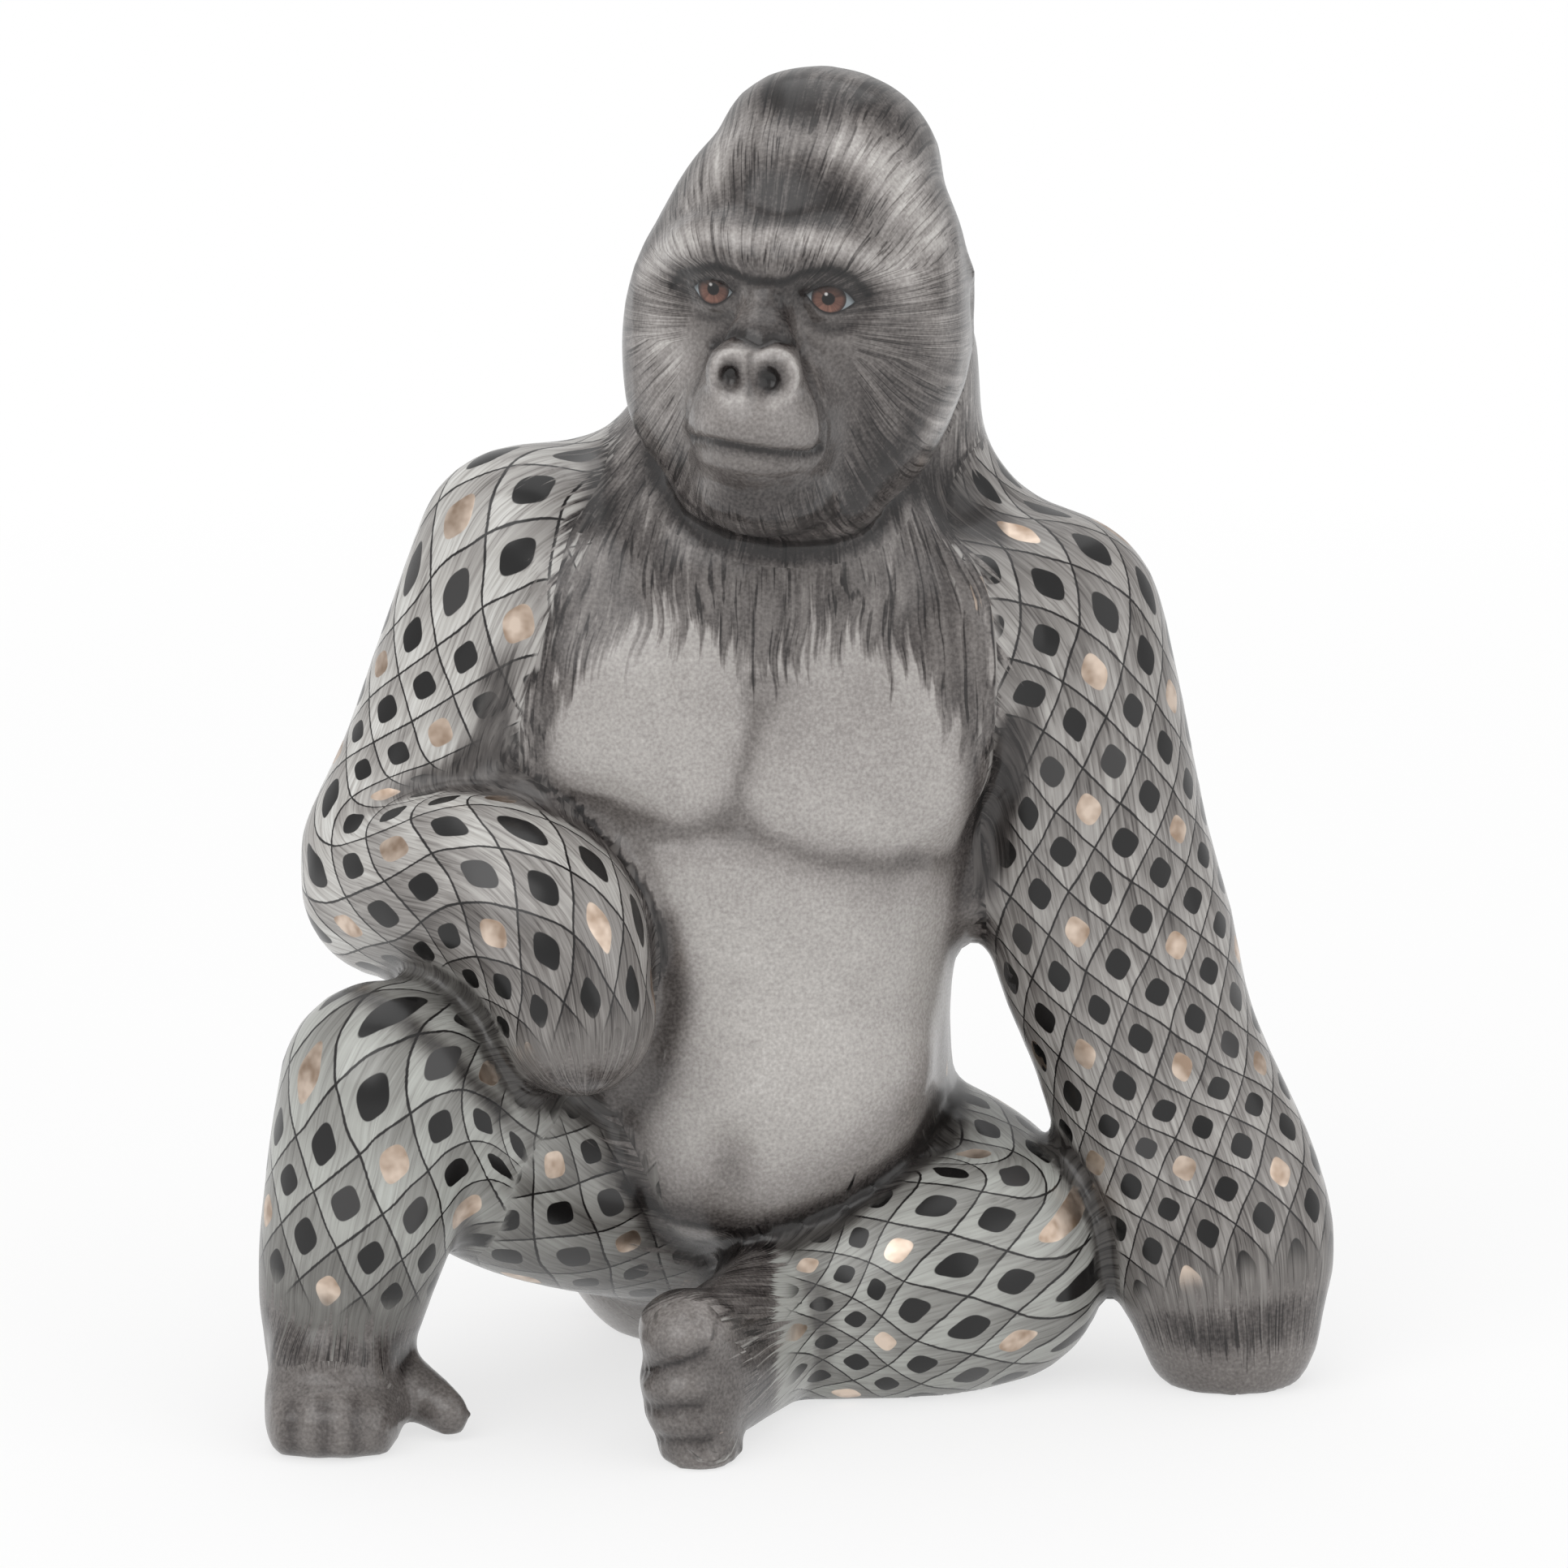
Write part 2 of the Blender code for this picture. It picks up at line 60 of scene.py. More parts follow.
# Sizes in millimetres
EVEN_FACE = 1.5
NET_CELL = 14.0
STRAND_RADIUS = 17
HEAD_STRAND_RADIUS = 30

# The step in and the step back out of one round of relaxing
RELAX_STEPS = (0.6, -0.62)
# Rounds of evening along the mesh
SHARE_ROUNDS = 6
NET_ROUNDS = 24
HOLLOW_ROUNDS = 60

# Height of the fur's edge on the chest, from its right to its left
FRINGE = (
    (-46, -41, -34, -24, -14, -6, 2, 10, 18, 25, 36),
    (112, 127, 139, 142, 138, 132, 137, 140, 133, 124, 104),
)
# Heights on the head, and what they count as where its strands fan out
HAIR_FLOW = ((-40, -2, 4, 13, 60), (-56, -16, 0, 25, 70))
# The muzzle's middle in the head's frame, where the strokes of the head start
STRAND_START = (0.0, -36.0, 2.0)

# Outputs and settings of a node that mixes two colours or two vectors
MIX_COLOURS = {"out": 2, "data_type": "RGBA"}
MIX_VECTORS = {"out": 1, "data_type": "VECTOR"}


def linear(code: str) -> tuple[float, float, float, float]:
    """Turns an sRGB hex colour into linear red, green, blue and alpha."""
    parts = [int(code[i : i + 2], 16) / 255 for i in (1, 3, 5)]
    turned = [p / 12.92 if p <= 0.04045 else ((p + 0.055) / 1.055) ** 2.4 for p in parts]
    return (*turned, 1.0)


def rise(values: np.ndarray, low: float, high: float) -> np.ndarray:
    """0 below low, 1 above high, and a smooth step between."""
    part = np.clip((values - low) / (high - low), 0, 1)
    return part * part * (3 - 2 * part)


def add_node(
    tree: bpy.types.NodeTree, kind: str, inputs: dict, out: object = 0, **settings: object
) -> bpy.types.NodeSocket:
    """Adds a shader node.

    Args:
        tree: The node tree.
        kind: The node's type without its ShaderNode prefix.
        inputs: Values or sockets by the input's name or number.
        out: Name or number of the output to hand back.
        settings: The node's own settings.

    Returns:
        The chosen output socket.
    """
    node = tree.nodes.new("ShaderNode" + kind)
    for name, value in settings.items():
        setattr(node, name, value)
    for key, value in inputs.items():
        if isinstance(value, bpy.types.NodeSocket):
            tree.links.new(value, node.inputs[key])
        else:
            node.inputs[key].default_value = value
    return node.outputs[out]


class Zone(IntEnum):
    """Parts of the figurine that are painted in their own direction."""

    HEAD = 0
    TRUNK = 1
    RIGHT_ARM = 2
    LEFT_ARM = 3
    RIGHT_THIGH = 4
    RIGHT_SHIN = 5
    LEFT_LEG = 6
    RIGHT_FOOT = 7
    LEFT_FOOT = 8


@dataclass(frozen=True)
class StudioCamera:
    """The camera that took in the figurine, and rays through points of its square picture."""

    place: tuple[float, float, float] = (-3.48, -1002.49, 300.0)
    tilt_deg: float = 10.951
    focal: float = 7237.0
    side: int = 1932
    sensor: float = 36.0

    def ray(self, x: float, y: float) -> tuple[Vector, Vector]:
        """Start and direction of the ray through a point of the picture, in millimetres."""
        tilt = math.radians(self.tilt_deg)
        ahead = Vector((0, math.cos(tilt), -math.sin(tilt)))
        up = Vector((0, math.sin(tilt), math.cos(tilt)))
        half = self.side / 2
        way = ahead + Vector((1, 0, 0)) * ((x - half) / self.focal) + up * ((half - y) / self.focal)
        return Vector(self.place), way.normalized()

    def build(self) -> bpy.types.Object:
        """Makes the scene's camera."""
        lens = bpy.data.cameras.new("studio_camera")
        lens.sensor_width = self.sensor
        lens.lens = self.sensor * self.focal / self.side
        obj = bpy.data.objects.new("studio_camera", lens)
        obj.location = Vector(self.place) * MM
        obj.rotation_euler = (math.radians(90 - self.tilt_deg), 0, 0)
        bpy.context.scene.collection.objects.link(obj)
        bpy.context.scene.camera = obj
        return obj


@dataclass(frozen=True)
class HeadFrame:
    """The head's own frame: it turns to its right and leans to its left."""

    middle: tuple[float, float, float] = (-0.8, -10.5, 188.0)
    turn_deg: float = -10.0
    lean_deg: float = 3.5

    def matrix(self) -> Matrix:
        """The frame in the figurine, in millimetres."""
        turn = Matrix.Rotation(math.radians(self.turn_deg), 4, "Z")
        lean = Matrix.Rotation(math.radians(self.lean_deg), 4, "Y")
        return Matrix.Translation(self.middle) @ turn @ lean

    def inside(self, spots: np.ndarray) -> np.ndarray:
        """Points of the figurine as seen in the head's frame."""
        back = np.array(self.matrix().inverted())
        return spots @ back[:3, :3].T + back[:3, 3]


@dataclass(frozen=True)
class Limb:
    """A limb as the painter follows it: a spine with radii, and the net's cells around it.

    tones are those of its bare skin, its fur and the ground of its net. fur_end is how many
    millimetres of its end are furred, and cool how cold the white of its net is.
    """

    zone: Zone
    spine: tuple[tuple[float, float, float, float], ...]
    cells: int
    seam: tuple[float, float, float]
    tones: tuple[float, float, float]
    fur_end: float = 0.0
    cool: float = 0.0

    def rows(self) -> np.ndarray:
        """Points and radii on a smooth curve through the spine, about a millimetre apart."""
        fixed = np.array(self.spine, float)
        fixed = np.vstack([2 * fixed[0] - fixed[1], fixed, 2 * fixed[-1] - fixed[-2]])
        found = []
        for i in range(1, len(fixed) - 2):
            a, b, c, d = fixed[i - 1 : i + 3]
            steps = max(2, int(np.linalg.norm((c - b)[:3])))
            for t in np.linspace(0, 1, steps, endpoint=False):
                cubic = (-a + 3 * b - 3 * c + d) * t**3
                square = (2 * a - 5 * b + 4 * c - d) * t**2
                found.append(0.5 * (cubic + square + (c - a) * t + 2 * b))
        found.append(fixed[-2])
        return np.array(found)

    def length(self) -> float:
        """Length of the spine."""
        return float(np.linalg.norm(np.diff(self.rows()[:, :3], axis=0), axis=1).sum())

    def measure(self, spots: np.ndarray) -> tuple[np.ndarray, np.ndarray, np.ndarray]:
        """Where points lie on the limb.

        Args:
            spots: Points in millimetres.

        Returns:
            Distance from the spine as a share of the radius, distance along the spine, and angle
            around it from the seam's far side.
        """
        rows = self.rows()
        middles, radii = rows[:, :3], rows[:, 3]
        heading = np.gradient(middles, axis=0)
        heading /= np.linalg.norm(heading, axis=1)[:, None]
        steps = np.linalg.norm(np.diff(middles, axis=0), axis=1)
        along = np.concatenate([[0], np.cumsum(steps)])
        side = -np.array(self.seam, float)
        sides = []
        for way in heading:
            side = side - way * (side @ way)
            side = side / np.linalg.norm(side)
            sides.append(side)
        sides = np.array(sides)
        others = np.cross(heading, sides)
        nearest = np.empty(len(spots), int)
        for start in range(0, len(spots), 20000):
            part = spots[start : start + 20000]
            gaps = np.linalg.norm(part[:, None] - middles[None], axis=2) / radii[None]
            nearest[start : start + 20000] = gaps.argmin(axis=1)
        away = spots - middles[nearest]
        reach = np.linalg.norm(away, axis=1) / radii[nearest]
        lengthwise = along[nearest] + (away * heading[nearest]).sum(axis=1)
        angle = np.arctan2(
            (away * others[nearest]).sum(axis=1), (away * sides[nearest]).sum(axis=1)
        )
        if self.zone == Zone.TRUNK:
            lengthwise, angle = self.hang(spots)
        return reach, lengthwise, angle

    def hang(self, spots: np.ndarray) -> tuple[np.ndarray, np.ndarray]:
        """Distance down and angle around a plumb line, for a net that hangs straight.

        On the shoulders and under the seat, where the surface lies level, the distance grows
        with the way out from the line or in towards it.
        """
        x, y, z = spots.T
        x, y = x + 6, y - 16
        slope = 0.8 * rise(z, 120, 150) - 0.8 * (1 - rise(z, 0, 4))
        return 235 - z + slope * (np.hypot(x, y) - 30), np.arctan2(x, y)


@dataclass(frozen=True)
class Mark:
    """A brush mark or a modelling stroke along points of the studio camera's picture.

    width is its half-width in millimetres. level is the tone of a brush mark, 0 black to 1
    white, or the height of a modelling stroke in millimetres. share is how much it covers.
    """

    path: tuple[tuple[float, float], ...]
    width: float
    level: float
    share: float = 1.0


def marks(*rows: tuple[float, ...]) -> tuple[Mark, ...]:
    """Marks from rows of width, level and share, and then x and y of each point."""
    return tuple(Mark(tuple(zip(row[3::2], row[4::2])), *row[:3]) for row in rows)


class Porcelain:
    """The fine mesh of the cast piece."""

    def __init__(self, camera: StudioCamera) -> None:
        """Keeps the camera that places on the mesh are given in."""
        self.camera = camera
        self.mesh: bpy.types.Mesh | None = None
        self.tree: BVHTree | None = None

    def spots(self, name: str = "co") -> np.ndarray:
        """Vertex positions in millimetres, or vertex normals."""
        values = np.empty(len(self.mesh.vertices) * 3, np.float32)
        self.mesh.vertices.foreach_get(name, values)
        return values.reshape(-1, 3).astype(float) * (1 / MM if name == "co" else 1)

    def put(self, spots: np.ndarray) -> None:
        """Writes vertex positions given in millimetres."""
        self.mesh.vertices.foreach_set("co", (spots * MM).astype(np.float32).reshape(-1))
        self.mesh.update()

    def copy_solid(self, solid: bpy.types.Object, voxel: float) -> None:
        """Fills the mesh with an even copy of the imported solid.

        Args:
            solid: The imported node.
            voxel: Size of the even faces in millimetres.
        """
        bm = bmesh.new()
        bm.from_mesh(solid.data)
        bmesh.ops.remove_doubles(bm, verts=bm.verts, dist=1e-6)
        loose = bpy.data.meshes.new("copy")
        bm.to_mesh(loose)
        bm.free()
        obj = bpy.data.objects.new("copy", loose)
        bpy.context.scene.collection.objects.link(obj)
        remesh = obj.modifiers.new("even", "REMESH")
        remesh.mode = "VOXEL"
        remesh.voxel_size = voxel * MM
        bpy.context.view_layer.update()
        graph = bpy.context.evaluated_depsgraph_get()
        self.mesh = bpy.data.meshes.new_from_object(obj.evaluated_get(graph))
        bpy.data.objects.remove(obj)
        bpy.data.meshes.remove(loose)

    def refine(self, chosen: np.ndarray, cuts: int) -> None:
        """Cuts the faces around the chosen vertices into finer ones."""
        bm = bmesh.new()
        bm.from_mesh(self.mesh)
        bm.verts.ensure_lookup_table()
        wanted = {bm.verts[int(i)] for i in np.flatnonzero(chosen)}
        edges = [edge for edge in bm.edges if edge.verts[0] in wanted and edge.verts[1] in wanted]
        bmesh.ops.subdivide_edges(bm, edges=edges, cuts=cuts, use_grid_fill=True)
        bm.to_mesh(self.mesh)
        bm.free()
        self.mesh.update()

    def edges(self) -> np.ndarray:
        """The two vertices of each edge."""
        ends = np.empty(len(self.mesh.edges) * 2, np.int32)
        self.mesh.edges.foreach_get("vertices", ends)
        return ends.reshape(-1, 2)

    def relax(self, weights: np.ndarray, rounds: int) -> None:
        """Evens out the surface without shrinking it, by steps in and back out.

        Args:
            weights: 0 to 1 for each vertex.
            rounds: How many pairs of steps.
        """
        ends = self.edges()
        spots = self.spots()
        count = len(spots)
        degree = np.bincount(ends.reshape(-1), minlength=count)
        for _ in range(rounds):
            for step in RELAX_STEPS:
                moved = np.empty_like(spots)
                for axis in range(3):
                    value = spots[:, axis]
                    total = np.bincount(ends[:, 0], value[ends[:, 1]], count)
                    total += np.bincount(ends[:, 1], value[ends[:, 0]], count)
                    moved[:, axis] = value + step * weights * (total / degree - value)
                spots = moved
        spots[:, 2] = np.maximum(spots[:, 2], 0)
        self.put(spots)

    def blended(self, values: np.ndarray, rounds: int) -> np.ndarray:
        """Values at the vertices, each column evened out along the surface."""
        ends = self.edges()
        count = len(values)
        degree = np.bincount(ends.reshape(-1), minlength=count)
        columns = []
        for value in values.T:
            for _ in range(rounds):
                total = np.bincount(ends[:, 0], value[ends[:, 1]], count)
                total += np.bincount(ends[:, 1], value[ends[:, 0]], count)
                value = 0.5 * (value + total / degree)
            columns.append(value)
        return np.stack(columns, axis=1)

    def hollows(self, rounds: int) -> np.ndarray:
        """How deep each vertex lies below its evened surroundings, in millimetres."""
        soft = self.blended(self.spots(), rounds)
        return ((soft - self.spots()) * self.spots("normal")).sum(axis=1)

    def look(self) -> None:
        """Makes the surface ready to be hit by rays."""
        bm = bmesh.new()
        bm.from_mesh(self.mesh)
        self.tree = BVHTree.FromBMesh(bm)
        bm.free()

    def under(self, path: tuple[tuple[float, float], ...], gap: float = 5.0) -> np.ndarray:
        """Points of the surface under a path of the picture, in millimetres."""
        rows = np.array(path, float)
        if len(rows) > 1:
            lengths = np.linalg.norm(np.diff(rows, axis=0), axis=1)
            along = np.concatenate([[0], np.cumsum(lengths)])
            steps = np.linspace(0, along[-1], max(2, int(along[-1] / gap)))
            rows = np.stack([np.interp(steps, along, rows[:, i]) for i in (0, 1)], axis=1)
        found = []
        for x, y in rows:
            start, way = self.camera.ray(x, y)
            hit = self.tree.ray_cast(start * MM, way)[0]
            if hit is not None:
                found.append(hit / MM)
        return np.array(found)

    def cover(self, mark: Mark) -> np.ndarray:
        """How much a mark covers each vertex, 0 to 1."""
        spots = self.spots()
        middles = self.under(mark.path)
        fade = np.zeros(len(spots))
        if not len(middles):
            return fade
        low, high = middles.min(0) - 3 * mark.width, middles.max(0) + 3 * mark.width
        near = np.flatnonzero(((spots > low) & (spots < high)).all(axis=1))
        gaps = np.full(len(near), 1e9)
        for middle in middles:
            gaps = np.minimum(gaps, np.linalg.norm(spots[near] - middle, axis=1))
        fade[near] = np.exp(-((gaps / mark.width) ** 2))
        return fade

    def model(self, strokes: tuple[Mark, ...]) -> None:
        """Pushes the surface in or out along each stroke."""
        self.look()
        for stroke in strokes:
            fade = self.cover(stroke) * stroke.level
            self.put(self.spots() + self.spots("normal") * fade[:, None])


@dataclass(frozen=True)
class Eye:
    """One painted eye: its middle in the picture, and its sizes on the head in millimetres."""

    middle: tuple[float, float]
    half_width: float
    above: float
    below: float
    slant_deg: float
    iris_shift: tuple[float, float]
    iris: float = 2.75
    pupil: float = 1.05


class Painter:
    """Lays the paint on the porcelain as fields at its vertices and corners."""

    def __init__(self, clay: Porcelain, limbs: tuple[Limb, ...], cell_height: float) -> None:
        """Measures every vertex against every limb."""
        self.clay = clay
        self.spots = clay.spots()
        self.normals = clay.spots("normal")
        self.limbs = limbs
        self.cell_height = cell_height
        measured = [limb.measure(self.spots) for limb in limbs]
        reach, along, angle = (np.array([m[i] for m in measured]) for i in range(3))
        self.reach = clay.blended(reach.T, SHARE_ROUNDS).T
        self.along = clay.blended(along.T, NET_ROUNDS).T
        sine, cosine = (clay.blended(turn(angle).T, NET_ROUNDS).T for turn in (np.sin, np.cos))
        self.angle = np.arctan2(sine, cosine)
        self.zone = self.reach.argmin(axis=0)
        ordered = np.sort(self.reach, axis=0)
        self.margin = ordered[1] - ordered[0]
        weights = np.exp(-(self.reach - ordered[0]) / 0.10)
        self.weights = weights / weights.sum(axis=0)
        self.tones = np.zeros((len(self.spots), 3))
        self.fur = np.zeros(len(self.spots))
        self.net = np.zeros(len(self.spots))
        self.cool = np.zeros(len(self.spots))

    def part(self, *zones: Zone) -> np.ndarray:
        """How much each vertex belongs to the zones, with soft edges."""
        chosen = [i for i, limb in enumerate(self.limbs) if limb.zone in zones]
        return self.weights[chosen].sum(axis=0)

    def index(self, zone: Zone) -> int:
        """The limb that a zone is measured on."""
        return next(i for i, limb in enumerate(self.limbs) if limb.zone == zone)

    def mix(self, column: int, tone: float, share: np.ndarray) -> None:
        """Turns one column of the tones towards a tone."""
        self.tones[:, column] = self.tones[:, column] * (1 - share) + tone * share

    def base(self, head: HeadFrame) -> None:
        """Ground tones, and where fur and net lie."""
        x, y, z = self.spots.T
        for i, limb in enumerate(self.limbs):
            self.tones += np.outer(self.weights[i], limb.tones)
        trunk = self.part(Zone.TRUNK)
        front = rise(-self.normals[:, 1], -0.25, 0.2) * trunk
        back = (trunk - front).clip(0, 1)
        fringe = np.interp(x, *FRINGE)
        neck = front * rise(z - fringe, -17, 9)
        nape = trunk * rise(z, 150, 176)
        hx, hy, hz = head.inside(self.spots).T
        oval = np.hypot(hx / 15.5, (hz + 7.5) / 20.5)
        bare = (1 - rise(oval, 0.8, 1.15)) * rise(-hy, 12, 18)
        self.fur = np.maximum(self.part(Zone.HEAD) * (1 - bare), np.maximum(neck, nape))
        limbs = 1 - self.part(Zone.HEAD, Zone.TRUNK, Zone.RIGHT_FOOT, Zone.LEFT_FOOT)
        self.net = (limbs + back * (1 - nape)).clip(0, 1)
        edge = np.exp(-(((self.net - 0.5) / 0.22) ** 2)) * rise(z, 62, 85)
        self.fur = np.maximum(self.fur, edge)
        self.mix(1, 0.38, edge * (1 - neck) * (1 - self.part(Zone.HEAD)))
        plain = np.zeros(len(x))
        for i, limb in enumerate(self.limbs):
            if limb.fur_end:
                start = limb.length() - limb.fur_end
                end = rise(self.along[i], start - 6, start + 6) * self.part(limb.zone)
                self.net *= 1 - end
                dusk = rise(self.along[i], start - 22, start + 6) * self.part(limb.zone)
                self.mix(2, limb.tones[1] + 0.04, dusk)
                self.fur = np.maximum(self.fur, end)
                bald = rise(self.along[i], start - 7, start - 2) * self.part(limb.zone)
                plain = np.maximum(plain, bald)
            self.cool += limb.cool * self.weights[i]
        knuckles = self.part(Zone.LEFT_ARM) * (1 - rise(z, 2, 14))
        self.fur *= 1 - knuckles
        ankle = self.part(Zone.LEFT_LEG) * rise(-x, 1, 8) * rise(-y, 3, 10)
        self.net *= 1 - ankle
        plain = np.maximum(plain, self.part(Zone.LEFT_LEG) * rise(-x, 0, 4) * rise(-y, 3, 10))
        instep = self.part(Zone.RIGHT_FOOT) * rise(z, 11, 19)
        instep += self.part(Zone.LEFT_FOOT) * rise(x, -13, -6)
        bare = self.part(Zone.RIGHT_SHIN, Zone.RIGHT_FOOT) * (1 - rise(z, 9, 17))
        self.fur = (self.fur + ankle + instep).clip(0, 1) * (1 - bare)
        self.clear = rise(self.margin, 0.0, 0.06) * (1 - plain)

    def shade(self) -> None:
        """Darkens hollows and folds with painted shade, where the real piece's airbrush also
        darkens them.
        """
        hollow = self.clay.hollows(HOLLOW_ROUNDS)
        # Painted shade: the deeper a vertex lies in a hollow, the darker all its tones
        self.tones *= 1 - 0.5 * rise(hollow, 0.08, 0.9)[:, None]
        self.clear *= 1 - rise(hollow, 0.45, 1.0)

    def brush(self, marks: tuple[Mark, ...], columns: int = 3) -> None:
        """Lays brush marks one over another.

        Args:
            marks: The marks, the lowest first.
            columns: How many columns of tones they change: 1 is bare skin alone.
        """
        for mark in marks:
            cover = self.clay.cover(mark) * mark.share
            for column in range(columns):
                self.mix(column, mark.level, cover)

    def write(self, head: HeadFrame) -> None:
        """Writes the fields on the mesh."""
        mesh = self.clay.mesh
        shares = np.stack([self.fur, self.net, self.clear], axis=1).clip(0, 1)
        inside = head.inside(self.spots)
        cool = self.cool[:, None].repeat(3, axis=1)
        fields = {"tones": self.tones.clip(0, 1), "shares": shares, "cool": cool, "head": inside}
        for name, values in fields.items():
            field = mesh.attributes.new(name, "FLOAT_VECTOR", "POINT")
            field.data.foreach_set("vector", values.astype(np.float32).reshape(-1))
        corners = np.empty(len(mesh.loops), np.int32)
        mesh.loops.foreach_get("vertex_index", corners)
        starts = np.empty(len(mesh.polygons), np.int32)
        totals = np.empty(len(mesh.polygons), np.int32)
        mesh.polygons.foreach_get("loop_start", starts)
        mesh.polygons.foreach_get("loop_total", totals)
        first = corners[starts].repeat(totals)
        one = self.zone[first]
        other = np.where(self.zone[corners] != one, self.zone[corners], -1)
        other = np.maximum.reduceat(other, starts).repeat(totals)
        other = np.where(other < 0, one, other)
        for zone, suffix in ((one, ""), (other, "_b")):
            flat, run = self.unrolled(zone, corners, first, inside)
            net = mesh.uv_layers.new(name="net" + suffix)
            net.uv.foreach_set("vector", flat.astype(np.float32).reshape(-1))
            field = mesh.attributes.new("run" + suffix, "FLOAT_VECTOR", "CORNER")
            field.data.foreach_set("vector", run.astype(np.float32).reshape(-1))
        side = np.where(one == other, 1.0, self.reach[other, corners] - self.reach[one, corners])
        field = mesh.attributes.new("side", "FLOAT", "CORNER")
        field.data.foreach_set("value", side.astype(np.float32))

    def unrolled(
        self, zone: np.ndarray, corners: np.ndarray, first: np.ndarray, inside: np.ndarray
    ) -> tuple[np.ndarray, np.ndarray]:
        """Places of the face corners on their limb's net and along its fur.

        Args:
            zone: The limb of each corner.
            corners: The vertex of each corner.
            first: The vertex of the first corner of its face.
            inside: The vertices in the head's frame.

        Returns:
            Two columns in cells of the net, and three in millimetres with the last along the fur.
        """
        cells = np.array([limb.cells for limb in self.limbs])[zone]
        around = self.angle[zone, corners] / math.tau * cells
        guide = self.angle[zone, first] / math.tau * cells
        around += cells * np.round((guide - around) / cells)
        down = self.along[zone, corners] / self.cell_height
        angle = self.angle[zone, corners]
        ring = STRAND_RADIUS * np.stack([np.cos(angle), np.sin(angle)], axis=1)
        run = np.column_stack([ring, self.along[zone, corners]])
        on_head = zone == self.index(Zone.HEAD)
        local = inside[corners]
        flat = local[:, (0, 2)].copy()
        flat[:, 1] = np.interp(flat[:, 1], *HAIR_FLOW)
        spread = np.linalg.norm(flat, axis=1).clip(0.1)[:, None]
        far = np.linalg.norm(local - np.array(STRAND_START), axis=1)
        radial = np.column_stack([HEAD_STRAND_RADIUS * flat / spread, far])
        run[on_head] = radial[on_head]
        return np.stack([around, down], axis=1), run


@dataclass(frozen=True)
class PaperSweep:
    """Matt white photographic paper under and behind the figurine."""

    colour: str = "#f4f4f4"
    near_glow: float = 0.7
    far_glow: float = 1.0
    shadow_reach: float = 1.1

    def build(self) -> bpy.types.Material:
        """White paper that keeps the shadow and looks white to the camera and in the glaze."""
        material = bpy.data.materials.new("white_sweep_paper")
        material.use_nodes = True
        tree = material.node_tree
        tree.nodes.clear()
        add = partial(add_node, tree)
        paper = add("BsdfDiffuse", {"Color": linear(self.colour)})
        glow = add("Emission", {"Color": (1, 1, 1, 1), "Strength": 1.0})
        path = tree.nodes.new("ShaderNodeLightPath")
        seen = add(
            "Math",
            {0: path.outputs["Is Camera Ray"], 1: path.outputs["Is Glossy Ray"]},
            operation="MAXIMUM",
        )
        seen = add("Math", {0: seen, 1: path.outputs["Is Transmission Ray"]}, operation="MAXIMUM")
        place = add("TexCoord", {}, out="Object")
        away = add("VectorMath", {0: place}, out="Value", operation="LENGTH")
        glowing = add(
            "MapRange",
            {
                "Value": away,
                "From Min": 0.1,
                "From Max": self.shadow_reach,
                "To Min": self.near_glow,
                "To Max": self.far_glow,
            },
        )
        share = add("Math", {0: seen, 1: glowing}, operation="MULTIPLY")
        mixed = add("MixShader", {0: share, 1: paper, 2: glow})
        end = tree.nodes.new("ShaderNodeOutputMaterial")
        tree.links.new(mixed, end.inputs["Surface"])
        return material


